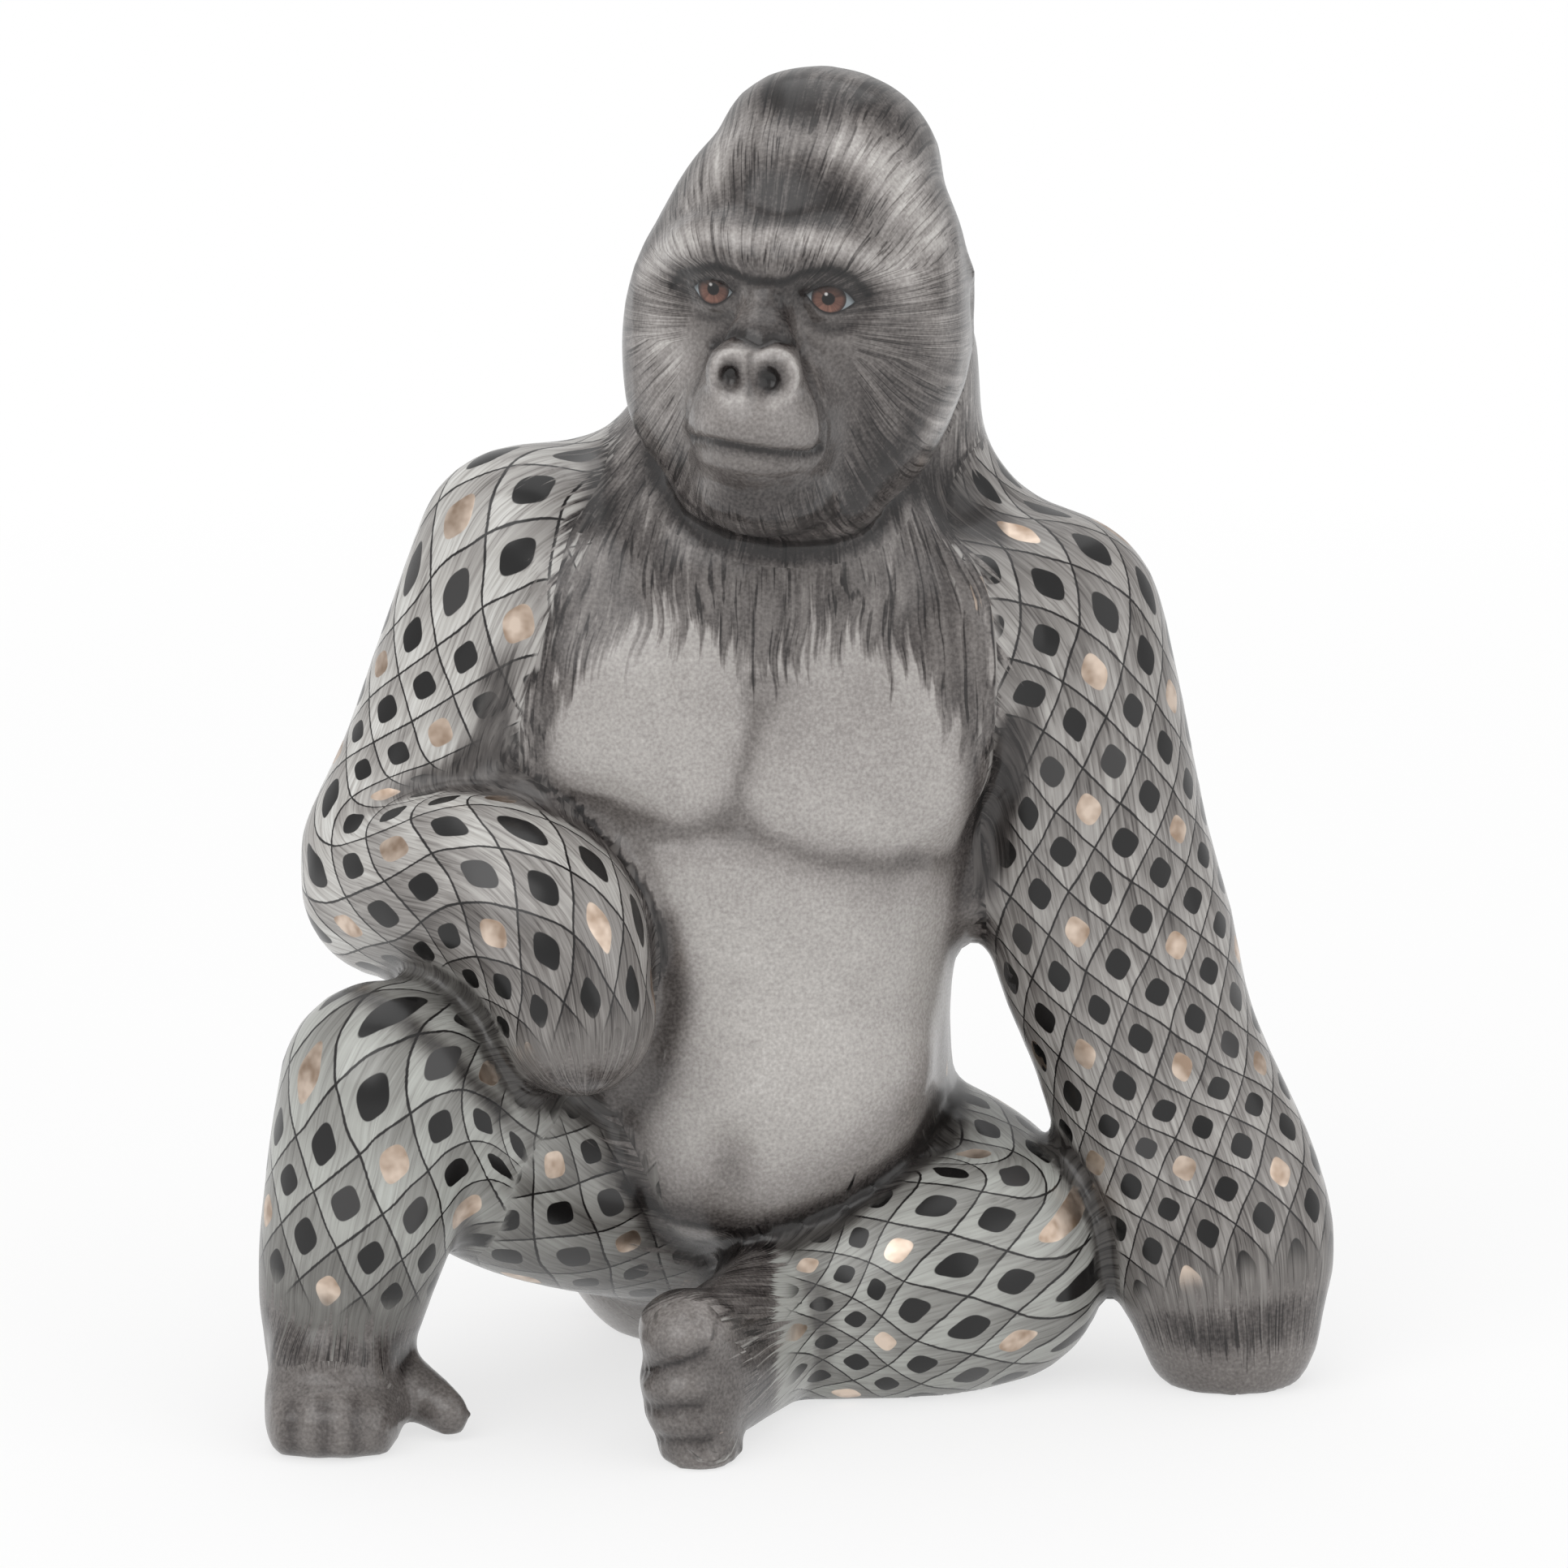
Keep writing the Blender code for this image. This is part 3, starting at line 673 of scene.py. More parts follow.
@dataclass(frozen=True)
class HandPaintedGlaze:
    """Slip-cast porcelain, painted by brush and airbrush, glazed, and finished with gold.

    The paint lies under a clear smooth glaze, so fur and stipple are colour and not relief.
    The gold is fired on top of the glaze: it is a little raised and brushed. Lines and spots
    are sized in cells of the net; every fifth spot is gold, and a few are faint.
    """

    greys: tuple[tuple[float, str], ...] = (
        (0.0, "#060505"),
        (0.25, "#2a2625"),
        (0.375, "#544f4d"),
        (0.5, "#787370"),
        (0.625, "#9a9592"),
        (0.75, "#bab6b2"),
        (1.0, "#f2f1ee"),
    )
    cool_tint: str = "#f1f8f6"
    line: str = "#161414"
    black: str = "#0f0e0e"
    smoke: str = "#383737"
    gold_dark: str = "#a58f7d"
    gold_light: str = "#dfcdbd"
    glaze_roughness: float = 0.24
    gold_roughness: float = 0.34
    ior: float = 1.5
    fur_contrast: float = 0.19
    stipple: float = 0.23
    # Strokes for each millimetre across and along, and their finer layers. A lock is 2.2 mm
    # wide, a hair 0.6 mm and a dark line between hairs 0.3 mm. Real brush hairs are finer, and
    # these are as coarse as they need to be to show.
    lock: tuple[float, float, float] = (0.45, 0.06, 2.0)
    hair: tuple[float, float, float] = (1.6, 0.065, 3.0)
    thread: tuple[float, float, float] = (3.0, 0.07, 1.0)
    # Waves for each metre: the airbrush's dots 0.6 mm, coarser than the real ones so that they
    # show, and its clouds 9 mm; the fur's bends 22 mm; the unsteady hand's wobbles 11 mm; the
    # glaze's ripples 6 mm; and the gold's patches 4 mm.
    dots: float = 1700.0
    clouds: float = 110.0
    bends: float = 45.0
    wobbles: float = 90.0
    ripples: float = 160.0
    patches: float = 260.0
    # The net, in cells, and its spots
    thick_line: float = 0.034
    thin_line: float = 0.022
    spot_core: float = 0.24
    spot_edge: float = 0.256
    squareness: float = 3.0
    gold_every: float = 5.0
    faint_share: float = 0.14
    iris_dark: str = "#4a2f28"
    iris_light: str = "#7f5b4e"
    iris_rim: str = "#1a1110"
    pupil: str = "#0a0808"
    # The painted catchlight in each eye, a painted highlight
    painted_catchlight: str = "#c9c6c4"
    eyeball: str = "#858d91"
    lid_line: str = "#151213"

    def build(self, eyes: list[tuple[Vector, Eye]]) -> bpy.types.Material:
        """Builds the material.

        Args:
            eyes: Each eye with its middle in the head's frame.

        Returns:
            The finished material.
        """
        material = bpy.data.materials.new("hand_painted_glazed_porcelain")
        material.use_nodes = True
        tree = material.node_tree
        shader = tree.nodes["Principled BSDF"]
        add = partial(add_node, tree)
        skin_tone, fur_tone, net_tone = self.field(tree, "tones")
        fur, net, clear = self.field(tree, "shares")
        cool = add("Attribute", {}, out="Fac", attribute_name="cool")
        place = add("TexCoord", {}, out="Object")
        side = add("Attribute", {}, out="Fac", attribute_name="side")
        side = add("Math", {0: side, 1: 0.0}, operation="LESS_THAN")
        run = add("Attribute", {}, out="Vector", attribute_name="run")
        run_b = add("Attribute", {}, out="Vector", attribute_name="run_b")
        run = add("Mix", {"Factor": side, 4: run, 5: run_b}, **MIX_VECTORS)
        flat = add("UVMap", {}, uv_map="net")
        flat_b = add("UVMap", {}, uv_map="net_b")
        flat = add("Mix", {"Factor": side, 4: flat, 5: flat_b}, **MIX_VECTORS)
        bend = add("TexNoise", {"Vector": place, "Scale": self.bends, "Detail": 1.0}, out="Color")
        run = add("VectorMath", {0: bend, 1: (2.4, 2.4, 2.4), 2: run}, operation="MULTIPLY_ADD")

        lock = self.streaks(tree, run, *self.lock)
        hair = self.streaks(tree, run, *self.hair)
        thread = self.streaks(tree, run, *self.thread)
        thread = add("MapRange", {"Value": thread, "From Min": 0.34, "From Max": 0.10})
        grain = add("TexNoise", {"Vector": place, "Scale": self.dots, "Detail": 1.0}, out="Fac")
        cloud = add("TexNoise", {"Vector": place, "Scale": self.clouds, "Detail": 2.0}, out="Fac")

        ends = add("Math", {0: hair, 1: 0.5}, operation="SUBTRACT")
        furry = add("Math", {0: ends, 1: 0.8, 2: fur}, operation="MULTIPLY_ADD")
        furry = add("MapRange", {"Value": furry, "From Min": 0.42, "From Max": 0.7})
        tone = add("Mix", {"Factor": furry, 2: skin_tone, 3: fur_tone})
        strokes = add("Math", {0: lock, 1: 0.6, 2: hair}, operation="MULTIPLY_ADD")
        strokes = add("Math", {0: thread, 1: -0.9, 2: strokes}, operation="MULTIPLY_ADD")
        strokes = add("Math", {0: strokes, 1: 0.85}, operation="SUBTRACT")
        strokes = add("Math", {0: strokes, 1: furry}, operation="MULTIPLY")
        tone = add("Math", {0: strokes, 1: self.fur_contrast, 2: tone}, operation="MULTIPLY_ADD")
        grain = add("Math", {0: grain, 1: 0.5}, operation="SUBTRACT")
        tone = add("Math", {0: grain, 1: self.stipple, 2: tone}, operation="MULTIPLY_ADD")
        cloud = add("Math", {0: cloud, 1: 0.5}, operation="SUBTRACT")
        tone = add("Math", {0: cloud, 1: 0.10, 2: tone}, operation="MULTIPLY_ADD")
        skin = self.ramp(tree, tone)

        feather = add("Math", {0: thread, 1: -0.6, 2: ends}, operation="MULTIPLY_ADD")
        sheet, metal = self.net(tree, flat, net_tone, cool, feather, clear, place)
        netted = add("Math", {0: ends, 1: 0.8, 2: net}, operation="MULTIPLY_ADD")
        netted = add("MapRange", {"Value": netted, "From Min": 0.42, "From Max": 0.58})
        colour = add("Mix", {"Factor": netted, 6: skin, 7: sheet}, **MIX_COLOURS)
        metal = add("Math", {0: metal, 1: netted}, operation="MULTIPLY")
        head = add("Attribute", {}, out="Vector", attribute_name="head")
        for middle, eye in eyes:
            colour = self.eye(tree, colour, head, middle, eye)
        rough = add(
            "MapRange",
            {"Value": metal, "To Min": self.glaze_roughness, "To Max": self.gold_roughness},
        )
        tree.links.new(colour, shader.inputs["Base Color"])
        tree.links.new(metal, shader.inputs["Metallic"])
        tree.links.new(rough, shader.inputs["Roughness"])
        shader.inputs["IOR"].default_value = self.ior

        ripple = add("TexNoise", {"Vector": place, "Scale": self.ripples, "Detail": 1.0}, out="Fac")
        raised = add("Math", {0: metal, 1: 0.8, 2: ripple}, operation="MULTIPLY_ADD")
        bump = add("Bump", {"Height": raised, "Strength": 0.12, "Distance": 0.0001})
        tree.links.new(bump, shader.inputs["Normal"])
        return material

    def field(self, tree: bpy.types.NodeTree, name: str) -> list[bpy.types.NodeSocket]:
        """The three values of a painted field."""
        values = add_node(tree, "Attribute", {}, out="Vector", attribute_name=name)
        parts = tree.nodes.new("ShaderNodeSeparateXYZ")
        tree.links.new(values, parts.inputs[0])
        return list(parts.outputs)

    def streaks(
        self,
        tree: bpy.types.NodeTree,
        run: bpy.types.NodeSocket,
        across: float,
        along: float,
        detail: float,
    ) -> bpy.types.NodeSocket:
        """Long thin strokes that follow the fur, from 0 to 1.

        Args:
            tree: The node tree.
            run: The fur's own coordinates in millimetres, with the third along the strokes.
            across: Strokes for each millimetre across.
            along: Strokes for each millimetre along.
            detail: How many finer layers there are.

        Returns:
            The strokes' strength.
        """
        add = partial(add_node, tree)
        stretched = add("Mapping", {"Vector": run, "Scale": (across, across, along)})
        noise = add("TexNoise", {"Vector": stretched, "Scale": 1.0, "Detail": detail}, out="Fac")
        return add("MapRange", {"Value": noise, "From Min": 0.3, "From Max": 0.7})

    def ramp(self, tree: bpy.types.NodeTree, tone: bpy.types.NodeSocket) -> bpy.types.NodeSocket:
        """The painter's greys, from black over warm grey to the white of the porcelain."""
        node = tree.nodes.new("ShaderNodeValToRGB")
        tree.links.new(tone, node.inputs["Fac"])
        elements = node.color_ramp.elements
        for element, (position, code) in zip(elements, (self.greys[0], self.greys[-1])):
            element.position, element.color = position, linear(code)
        for position, code in self.greys[1:-1]:
            elements.new(position).color = linear(code)
        return node.outputs["Color"]

    def net(
        self,
        tree: bpy.types.NodeTree,
        flat: bpy.types.NodeSocket,
        tone: bpy.types.NodeSocket,
        cool: bpy.types.NodeSocket,
        feather: bpy.types.NodeSocket,
        clear: bpy.types.NodeSocket,
        place: bpy.types.NodeSocket,
    ) -> tuple[bpy.types.NodeSocket, bpy.types.NodeSocket]:
        """The lozenge trellis: thin dark lines, and a soft lozenge in each mesh.

        Args:
            tree: The node tree.
            flat: Places on the net, in cells.
            tone: Tone of the ground.
            cool: How cold the ground is.
            feather: Fine strokes of the brush, around 0.
            clear: 1 inside a limb, falling to 0 where two limbs' nets meet.
            place: Points of the figurine.

        Returns:
            Its colour and the share of gold.
        """
        add = partial(add_node, tree)
        wobble = add(
            "TexNoise", {"Vector": place, "Scale": self.wobbles, "Detail": 1.0}, out="Color"
        )
        wobble = add("VectorMath", {0: wobble, 1: (0.5, 0.5, 0.5)}, operation="SUBTRACT")
        wobble = add("VectorMath", {0: wobble, "Scale": 0.11}, operation="SCALE")
        drawn = add("VectorMath", {0: flat, 1: wobble}, operation="ADD")
        axes = tree.nodes.new("ShaderNodeSeparateXYZ")
        tree.links.new(drawn, axes.inputs[0])
        rising = add("Math", {0: axes.outputs[0], 1: axes.outputs[1]}, operation="ADD")
        falling = add("Math", {0: axes.outputs[0], 1: axes.outputs[1]}, operation="SUBTRACT")
        near_a = add("Math", {0: rising, 1: 0.5}, operation="PINGPONG")
        near_b = add("Math", {0: falling, 1: 0.5}, operation="PINGPONG")
        nearest = add("Math", {0: near_a, 1: near_b}, operation="MINIMUM")
        thick = add(
            "MapRange",
            {
                "Value": feather,
                "From Min": -0.4,
                "From Max": 0.4,
                "To Min": self.thick_line,
                "To Max": self.thin_line,
            },
        )
        thin = add("Math", {0: thick, 1: 0.5}, operation="MULTIPLY")
        line = add(
            "MapRange",
            {"Value": nearest, "From Min": thin, "From Max": thick, "To Min": 1.0, "To Max": 0.0},
        )

        p = add("Math", {0: 0.5, 1: near_a}, operation="SUBTRACT")
        q = add("Math", {0: 0.5, 1: near_b}, operation="SUBTRACT")
        p = add("Math", {0: p, 1: self.squareness}, operation="POWER")
        q = add("Math", {0: q, 1: self.squareness}, operation="POWER")
        size = add("Math", {0: p, 1: q}, operation="ADD")
        size = add("Math", {0: size, 1: 1 / self.squareness}, operation="POWER")
        spot = add(
            "MapRange",
            {
                "Value": size,
                "From Min": self.spot_core,
                "From Max": self.spot_edge,
                "To Min": 1.0,
                "To Max": 0.0,
            },
        )

        row = add("Math", {0: rising}, operation="FLOOR")
        column = add("Math", {0: falling}, operation="FLOOR")
        knight = add("Math", {0: column, 1: 2.0, 2: row}, operation="MULTIPLY_ADD")
        fifth = add("Math", {0: knight, 1: self.gold_every}, operation="FLOORED_MODULO")
        gilt = add("Math", {0: fifth, 1: 0.5}, operation="LESS_THAN")
        cell = add("CombineXYZ", {0: row, 1: column})
        chance = add("TexWhiteNoise", {"Vector": cell}, out="Value", noise_dimensions="2D")
        faint = add("Math", {0: chance, 1: self.faint_share}, operation="LESS_THAN")

        half_a = add("Math", {0: rising}, operation="FRACT")
        half_b = add("Math", {0: falling}, operation="FRACT")
        height = add("Math", {0: half_a, 1: half_b}, operation="SUBTRACT")
        wash = add(
            "MapRange",
            {"Value": height, "From Min": -0.8, "From Max": 0.5, "To Min": -0.13, "To Max": 0.05},
        )
        washed = add("Math", {0: wash, 1: clear, 2: tone}, operation="MULTIPLY_ADD")
        brushed = add("MapRange", {"Value": cool, "To Min": 0.21, "To Max": 0.10})
        washed = add("Math", {0: feather, 1: brushed, 2: washed}, operation="MULTIPLY_ADD")
        ground = self.ramp(tree, washed)
        tinted = add(
            "Mix",
            {"Factor": 1.0, 6: ground, 7: linear(self.cool_tint)},
            blend_type="MULTIPLY",
            **MIX_COLOURS,
        )
        ground = add("Mix", {"Factor": cool, 6: ground, 7: tinted}, **MIX_COLOURS)

        ink = add(
            "Mix", {"Factor": faint, 6: linear(self.black), 7: linear(self.smoke)}, **MIX_COLOURS
        )
        patch = add("TexNoise", {"Vector": place, "Scale": self.patches, "Detail": 2.0}, out="Fac")
        patch = add("MapRange", {"Value": patch, "From Min": 0.35, "From Max": 0.65})
        gold = add(
            "Mix",
            {"Factor": patch, 6: linear(self.gold_dark), 7: linear(self.gold_light)},
            **MIX_COLOURS,
        )
        ink = add("Mix", {"Factor": gilt, 6: ink, 7: gold}, **MIX_COLOURS)
        line = add("Math", {0: line, 1: clear}, operation="MULTIPLY")
        spot = add("Math", {0: spot, 1: clear}, operation="MULTIPLY")
        colour = add("Mix", {"Factor": line, 6: ground, 7: linear(self.line)}, **MIX_COLOURS)
        colour = add("Mix", {"Factor": spot, 6: colour, 7: ink}, **MIX_COLOURS)
        metal = add("Math", {0: spot, 1: gilt}, operation="MULTIPLY")
        return colour, metal

    def eye(
        self,
        tree: bpy.types.NodeTree,
        under: bpy.types.NodeSocket,
        head: bpy.types.NodeSocket,
        middle: Vector,
        eye: Eye,
    ) -> bpy.types.NodeSocket:
        """Paints one eye over the colour under it.

        Args:
            tree: The node tree.
            under: The colour of the face.
            head: Points in the head's frame in millimetres.
            middle: The eye's middle in that frame.
            eye: The eye's sizes.

        Returns:
            The colour with the eye on it.
        """
        add = partial(add_node, tree)
        turn = (0.0, math.radians(eye.slant_deg), 0.0)
        local = add(
            "Mapping", {"Vector": head, "Location": middle, "Rotation": turn}, vector_type="TEXTURE"
        )
        axes = tree.nodes.new("ShaderNodeSeparateXYZ")
        tree.links.new(local, axes.inputs[0])
        across, ahead, up = axes.outputs
        front = add("Math", {0: ahead, 1: 6.0}, operation="LESS_THAN")
        bow = add("Math", {0: across, 1: eye.half_width}, operation="DIVIDE")
        bow = add("Math", {0: bow, 1: bow}, operation="MULTIPLY")
        bow = add("Math", {0: 1.0, 1: bow}, operation="SUBTRACT")
        lid = add("Math", {0: bow, 1: eye.above}, operation="MULTIPLY")
        rim = add("Math", {0: bow, 1: -eye.below}, operation="MULTIPLY")
        top = add("Math", {0: lid, 1: up}, operation="SUBTRACT")
        bottom = add("Math", {0: up, 1: rim}, operation="SUBTRACT")
        inside = add("Math", {0: top, 1: bottom}, operation="MINIMUM")
        opened = add("MapRange", {"Value": inside, "From Min": -0.05, "From Max": 0.15})
        lined = add("MapRange", {"Value": inside, "From Min": -0.62, "From Max": -0.12})
        opened = add("Math", {0: opened, 1: front}, operation="MULTIPLY")
        lined = add("Math", {0: lined, 1: front}, operation="MULTIPLY")

        centre = (eye.iris_shift[0], 0.0, eye.iris_shift[1])
        flat = add("VectorMath", {0: local, 1: (1.0, 0.0, 1.0)}, operation="MULTIPLY")
        away = add("VectorMath", {0: flat, 1: centre}, operation="SUBTRACT")
        out = add("VectorMath", {0: away}, out="Value", operation="LENGTH")
        way = add("VectorMath", {0: away}, operation="NORMALIZE")
        rays = add("TexNoise", {"Vector": way, "Scale": 3.0, "Detail": 3.0}, out="Fac")
        brown = add("MapRange", {"Value": rays, "From Min": 0.3, "From Max": 0.7})
        iris = add(
            "Mix",
            {"Factor": brown, 6: linear(self.iris_dark), 7: linear(self.iris_light)},
            **MIX_COLOURS,
        )
        # The iris darker at its top in painted shade from the upper lid, and lighter towards its
        # bottom
        light = add(
            "MapRange",
            {"Value": up, "From Min": -1.8, "From Max": 1.2, "To Min": 1.35, "To Max": 0.4},
        )
        iris = add("VectorMath", {0: iris, "Scale": light}, operation="SCALE")
        edge = add("MapRange", {"Value": out, "From Min": eye.iris - 0.7, "From Max": eye.iris})
        iris = add("Mix", {"Factor": edge, 6: iris, 7: linear(self.iris_rim)}, **MIX_COLOURS)
        hole = add(
            "MapRange", {"Value": out, "From Min": eye.pupil + 0.1, "From Max": eye.pupil - 0.1}
        )
        iris = add("Mix", {"Factor": hole, 6: iris, 7: linear(self.pupil)}, **MIX_COLOURS)
        # A painted catchlight: a small painted highlight above the pupil
        painted_catchlight = add("VectorMath", {0: away, 1: (-0.45, 0.0, 0.75)}, operation="SUBTRACT")
        painted_catchlight = add("VectorMath", {0: painted_catchlight}, out="Value", operation="LENGTH")
        painted_catchlight = add("MapRange", {"Value": painted_catchlight, "From Min": 0.36, "From Max": 0.16})
        iris = add("Mix", {"Factor": painted_catchlight, 6: iris, 7: linear(self.painted_catchlight)}, **MIX_COLOURS)
        round_iris = add(
            "MapRange", {"Value": out, "From Min": eye.iris + 0.08, "From Max": eye.iris - 0.08}
        )
        ball = add("Mix", {"Factor": round_iris, 6: linear(self.eyeball), 7: iris}, **MIX_COLOURS)
        # Painted shadow of the upper lid over the whole eye
        shade = add(
            "MapRange",
            {"Value": top, "From Min": 0.0, "From Max": 1.1, "To Min": 0.25, "To Max": 1.0},
        )
        ball = add("VectorMath", {0: ball, "Scale": shade}, operation="SCALE")
        face = add("Mix", {"Factor": lined, 6: under, 7: linear(self.lid_line)}, **MIX_COLOURS)
        return add("Mix", {"Factor": opened, 6: face, 7: ball}, **MIX_COLOURS)


@dataclass(frozen=True)
class Lamp:
    """A soft box: its place, size and strength."""

    name: str
    place: tuple[float, float, float]
    size: float
    watts: float


@dataclass(frozen=True)
class Studio:
    """Pale sweep, soft boxes and an even white surround."""

    floor_side: float = 14.0
    surround: float = 0.66
    lamps: tuple[Lamp, ...] = (
        Lamp("key_softbox", (-1.0, -1.5, 1.6), 2.0, 19.0),
        Lamp("fill_softbox", (1.6, -1.0, 0.9), 1.8, 7.0),
        Lamp("top_softbox", (0.1, 0.4, 1.9), 1.8, 9.0),
    )

    def build(self) -> None:
        """Makes the floor, the lamps and the world."""
        bm = bmesh.new()
        bmesh.ops.create_grid(bm, x_segments=2, y_segments=2, size=self.floor_side / 2)
        mesh = bpy.data.meshes.new("sweep")
        bm.to_mesh(mesh)
        bm.free()
        mesh.materials.append(PaperSweep().build())
        floor = bpy.data.objects.new("sweep", mesh)
        bpy.context.scene.collection.objects.link(floor)
        for lamp in self.lamps:
            light = bpy.data.lights.new(lamp.name, "AREA")
            light.size = lamp.size
            light.energy = lamp.watts
            obj = bpy.data.objects.new(lamp.name, light)
            obj.location = lamp.place
            aim = Vector((0, 0, 0.1)) - obj.location
            obj.rotation_euler = aim.to_track_quat("-Z", "Y").to_euler()
            bpy.context.scene.collection.objects.link(obj)
        world = bpy.data.worlds.new("white_surround")
        world.use_nodes = True
        back = world.node_tree.nodes["Background"]
        back.inputs["Color"].default_value = (1, 1, 1, 1)
        path = world.node_tree.nodes.new("ShaderNodeLightPath")
        strength = add_node(
            world.node_tree,
            "MapRange",
            {"Value": path.outputs["Is Camera Ray"], "To Min": self.surround, "To Max": 1.0},
        )
        world.node_tree.links.new(strength, back.inputs["Strength"])
        bpy.context.scene.world = world
        bpy.context.scene.view_settings.view_transform = "Standard"


LIMBS = (
    Limb(
        Zone.HEAD,
        (
            (-4, -22, 171, 15.5),
            (-3, -17, 177, 27),
            (-1, -15, 188, 31.5),
            (2, -11, 203, 30),
            (4, -7, 216, 24),
        ),
        cells=16,
        seam=(0, 1, 0),
        tones=(0.44, 0.38, 0.5),
    ),
    Limb(
        Zone.TRUNK,
        (
            (4, 16, 182, 24),
            (0, 16, 162, 27),
            (-4.5, 14.5, 146, 33),
            (-7, 13, 128, 38),
            (-8, 12, 106, 38),
            (-9, 12, 84, 38),
            (-9, 15, 60, 37),
            (-9, 26, 34, 36),
            (-7, 40, 8, 30),
        ),
        cells=22,
        seam=(0, -1, 0),
        tones=(0.69, 0.41, 0.58),
        cool=0.3,
    ),
    Limb(
        Zone.RIGHT_ARM,
        (
            (-24, 14, 149, 17),
            (-40, 9, 147, 17),
            (-51, 4.5, 138, 18),
            (-57, 3.5, 122, 17),
            (-63, 2.5, 106, 17),
            (-69, -1, 93, 17.5),
            (-62, -12, 89, 17.5),
            (-50, -21, 88, 17.5),
            (-41, -28, 80, 16.5),
            (-38, -32, 70, 14),
            (-37, -35, 59, 7),
        ),
        cells=10,
        seam=(1, 0.4, -0.6),
        tones=(0.5, 0.38, 0.76),
        fur_end=6,
        cool=0.3,
    ),
    Limb(
        Zone.LEFT_ARM,
        (
            (22, 14, 148, 17),
            (34, 9, 141, 18),
            (43, 6.5, 131, 20),
            (47.7, 5.5, 114, 19.6),
            (50.7, 5.5, 94, 20),
            (54.7, 5.5, 76, 20),
            (59.7, 5.5, 60, 19.5),
            (64.7, 5.5, 46, 20),
            (70, 2.5, 32, 20),
            (73.7, -1.5, 20, 19),
            (75.2, -4, 6, 16),
        ),
        cells=11,
        seam=(-1, 0, 0),
        tones=(0.48, 0.40, 0.61),
        fur_end=9,
        cool=0.3,
    ),
    Limb(
        Zone.RIGHT_THIGH,
        (
            (-20, 14.5, 31, 23),
            (-33, 4, 36, 21),
            (-44, -6, 41, 18),
            (-53, -14, 49, 17),
            (-58, -19, 57, 14),
        ),
        cells=11,
        seam=(0, 1, 0),
        tones=(0.45, 0.4, 0.6),
        cool=0.9,
    ),
    Limb(
        Zone.RIGHT_SHIN,
        (
            (-56, -22, 64, 17),
            (-69, -31, 61, 18.5),
            (-74.3, -33.5, 44, 17.6),
            (-78.3, -31.5, 27, 15.4),
            (-80, -28.5, 12, 13.5),
            (-80, -34, 3, 11),
        ),
        cells=9,
        seam=(1, 1, 0),
        tones=(0.45, 0.38, 0.70),
        fur_end=23,
        cool=1.0,
    ),
    Limb(
        Zone.LEFT_LEG,
        (
            (16, 24, 34, 24),
            (27, 14, 30, 24),
            (35, 2, 22, 22.5),
            (24, -5.5, 19, 21.5),
            (12, -8.5, 16.5, 19),
            (0, -15, 15, 15.5),
            (-8, -22, 15, 15),
            (-18, -27, 14, 14),
        ),
        cells=11,
        seam=(0, 1, -0.5),
        tones=(0.45, 0.38, 0.68),
        cool=1.0,
    ),
    Limb(
        Zone.RIGHT_FOOT,
        ((-80, -36, 5, 8), (-80, -46, 5, 9)),
        cells=8,
        seam=(0, 0, -1),
        tones=(0.43, 0.38, 0.5),
    ),
    Limb(
        Zone.LEFT_FOOT,
        ((-13, -38, 14, 6), (-21, -47, 13, 6.8)),
        cells=8,
        seam=(0, 0, -1),
        tones=(0.41, 0.38, 0.5),
    ),
)

EYES = (
    Eye((878, 357), 3.5, 1.75, 2.35, 0.0, (0.1, 0.15)),
    Eye((1023, 368), 3.8, 2.2, 2.3, 7.0, (-0.3, -0.1)),
)

# Creases between the toes of the left foot, as x and y of their points
TOE_CREASES = (
    (786, 1692, 813, 1683, 843, 1677, 868, 1664),
    (788, 1734, 825, 1734, 862, 1731),
    (799, 1772, 836, 1775, 874, 1774),
)
BIG_TOE_TIP = Mark(((578, 1762),), 5, 1)

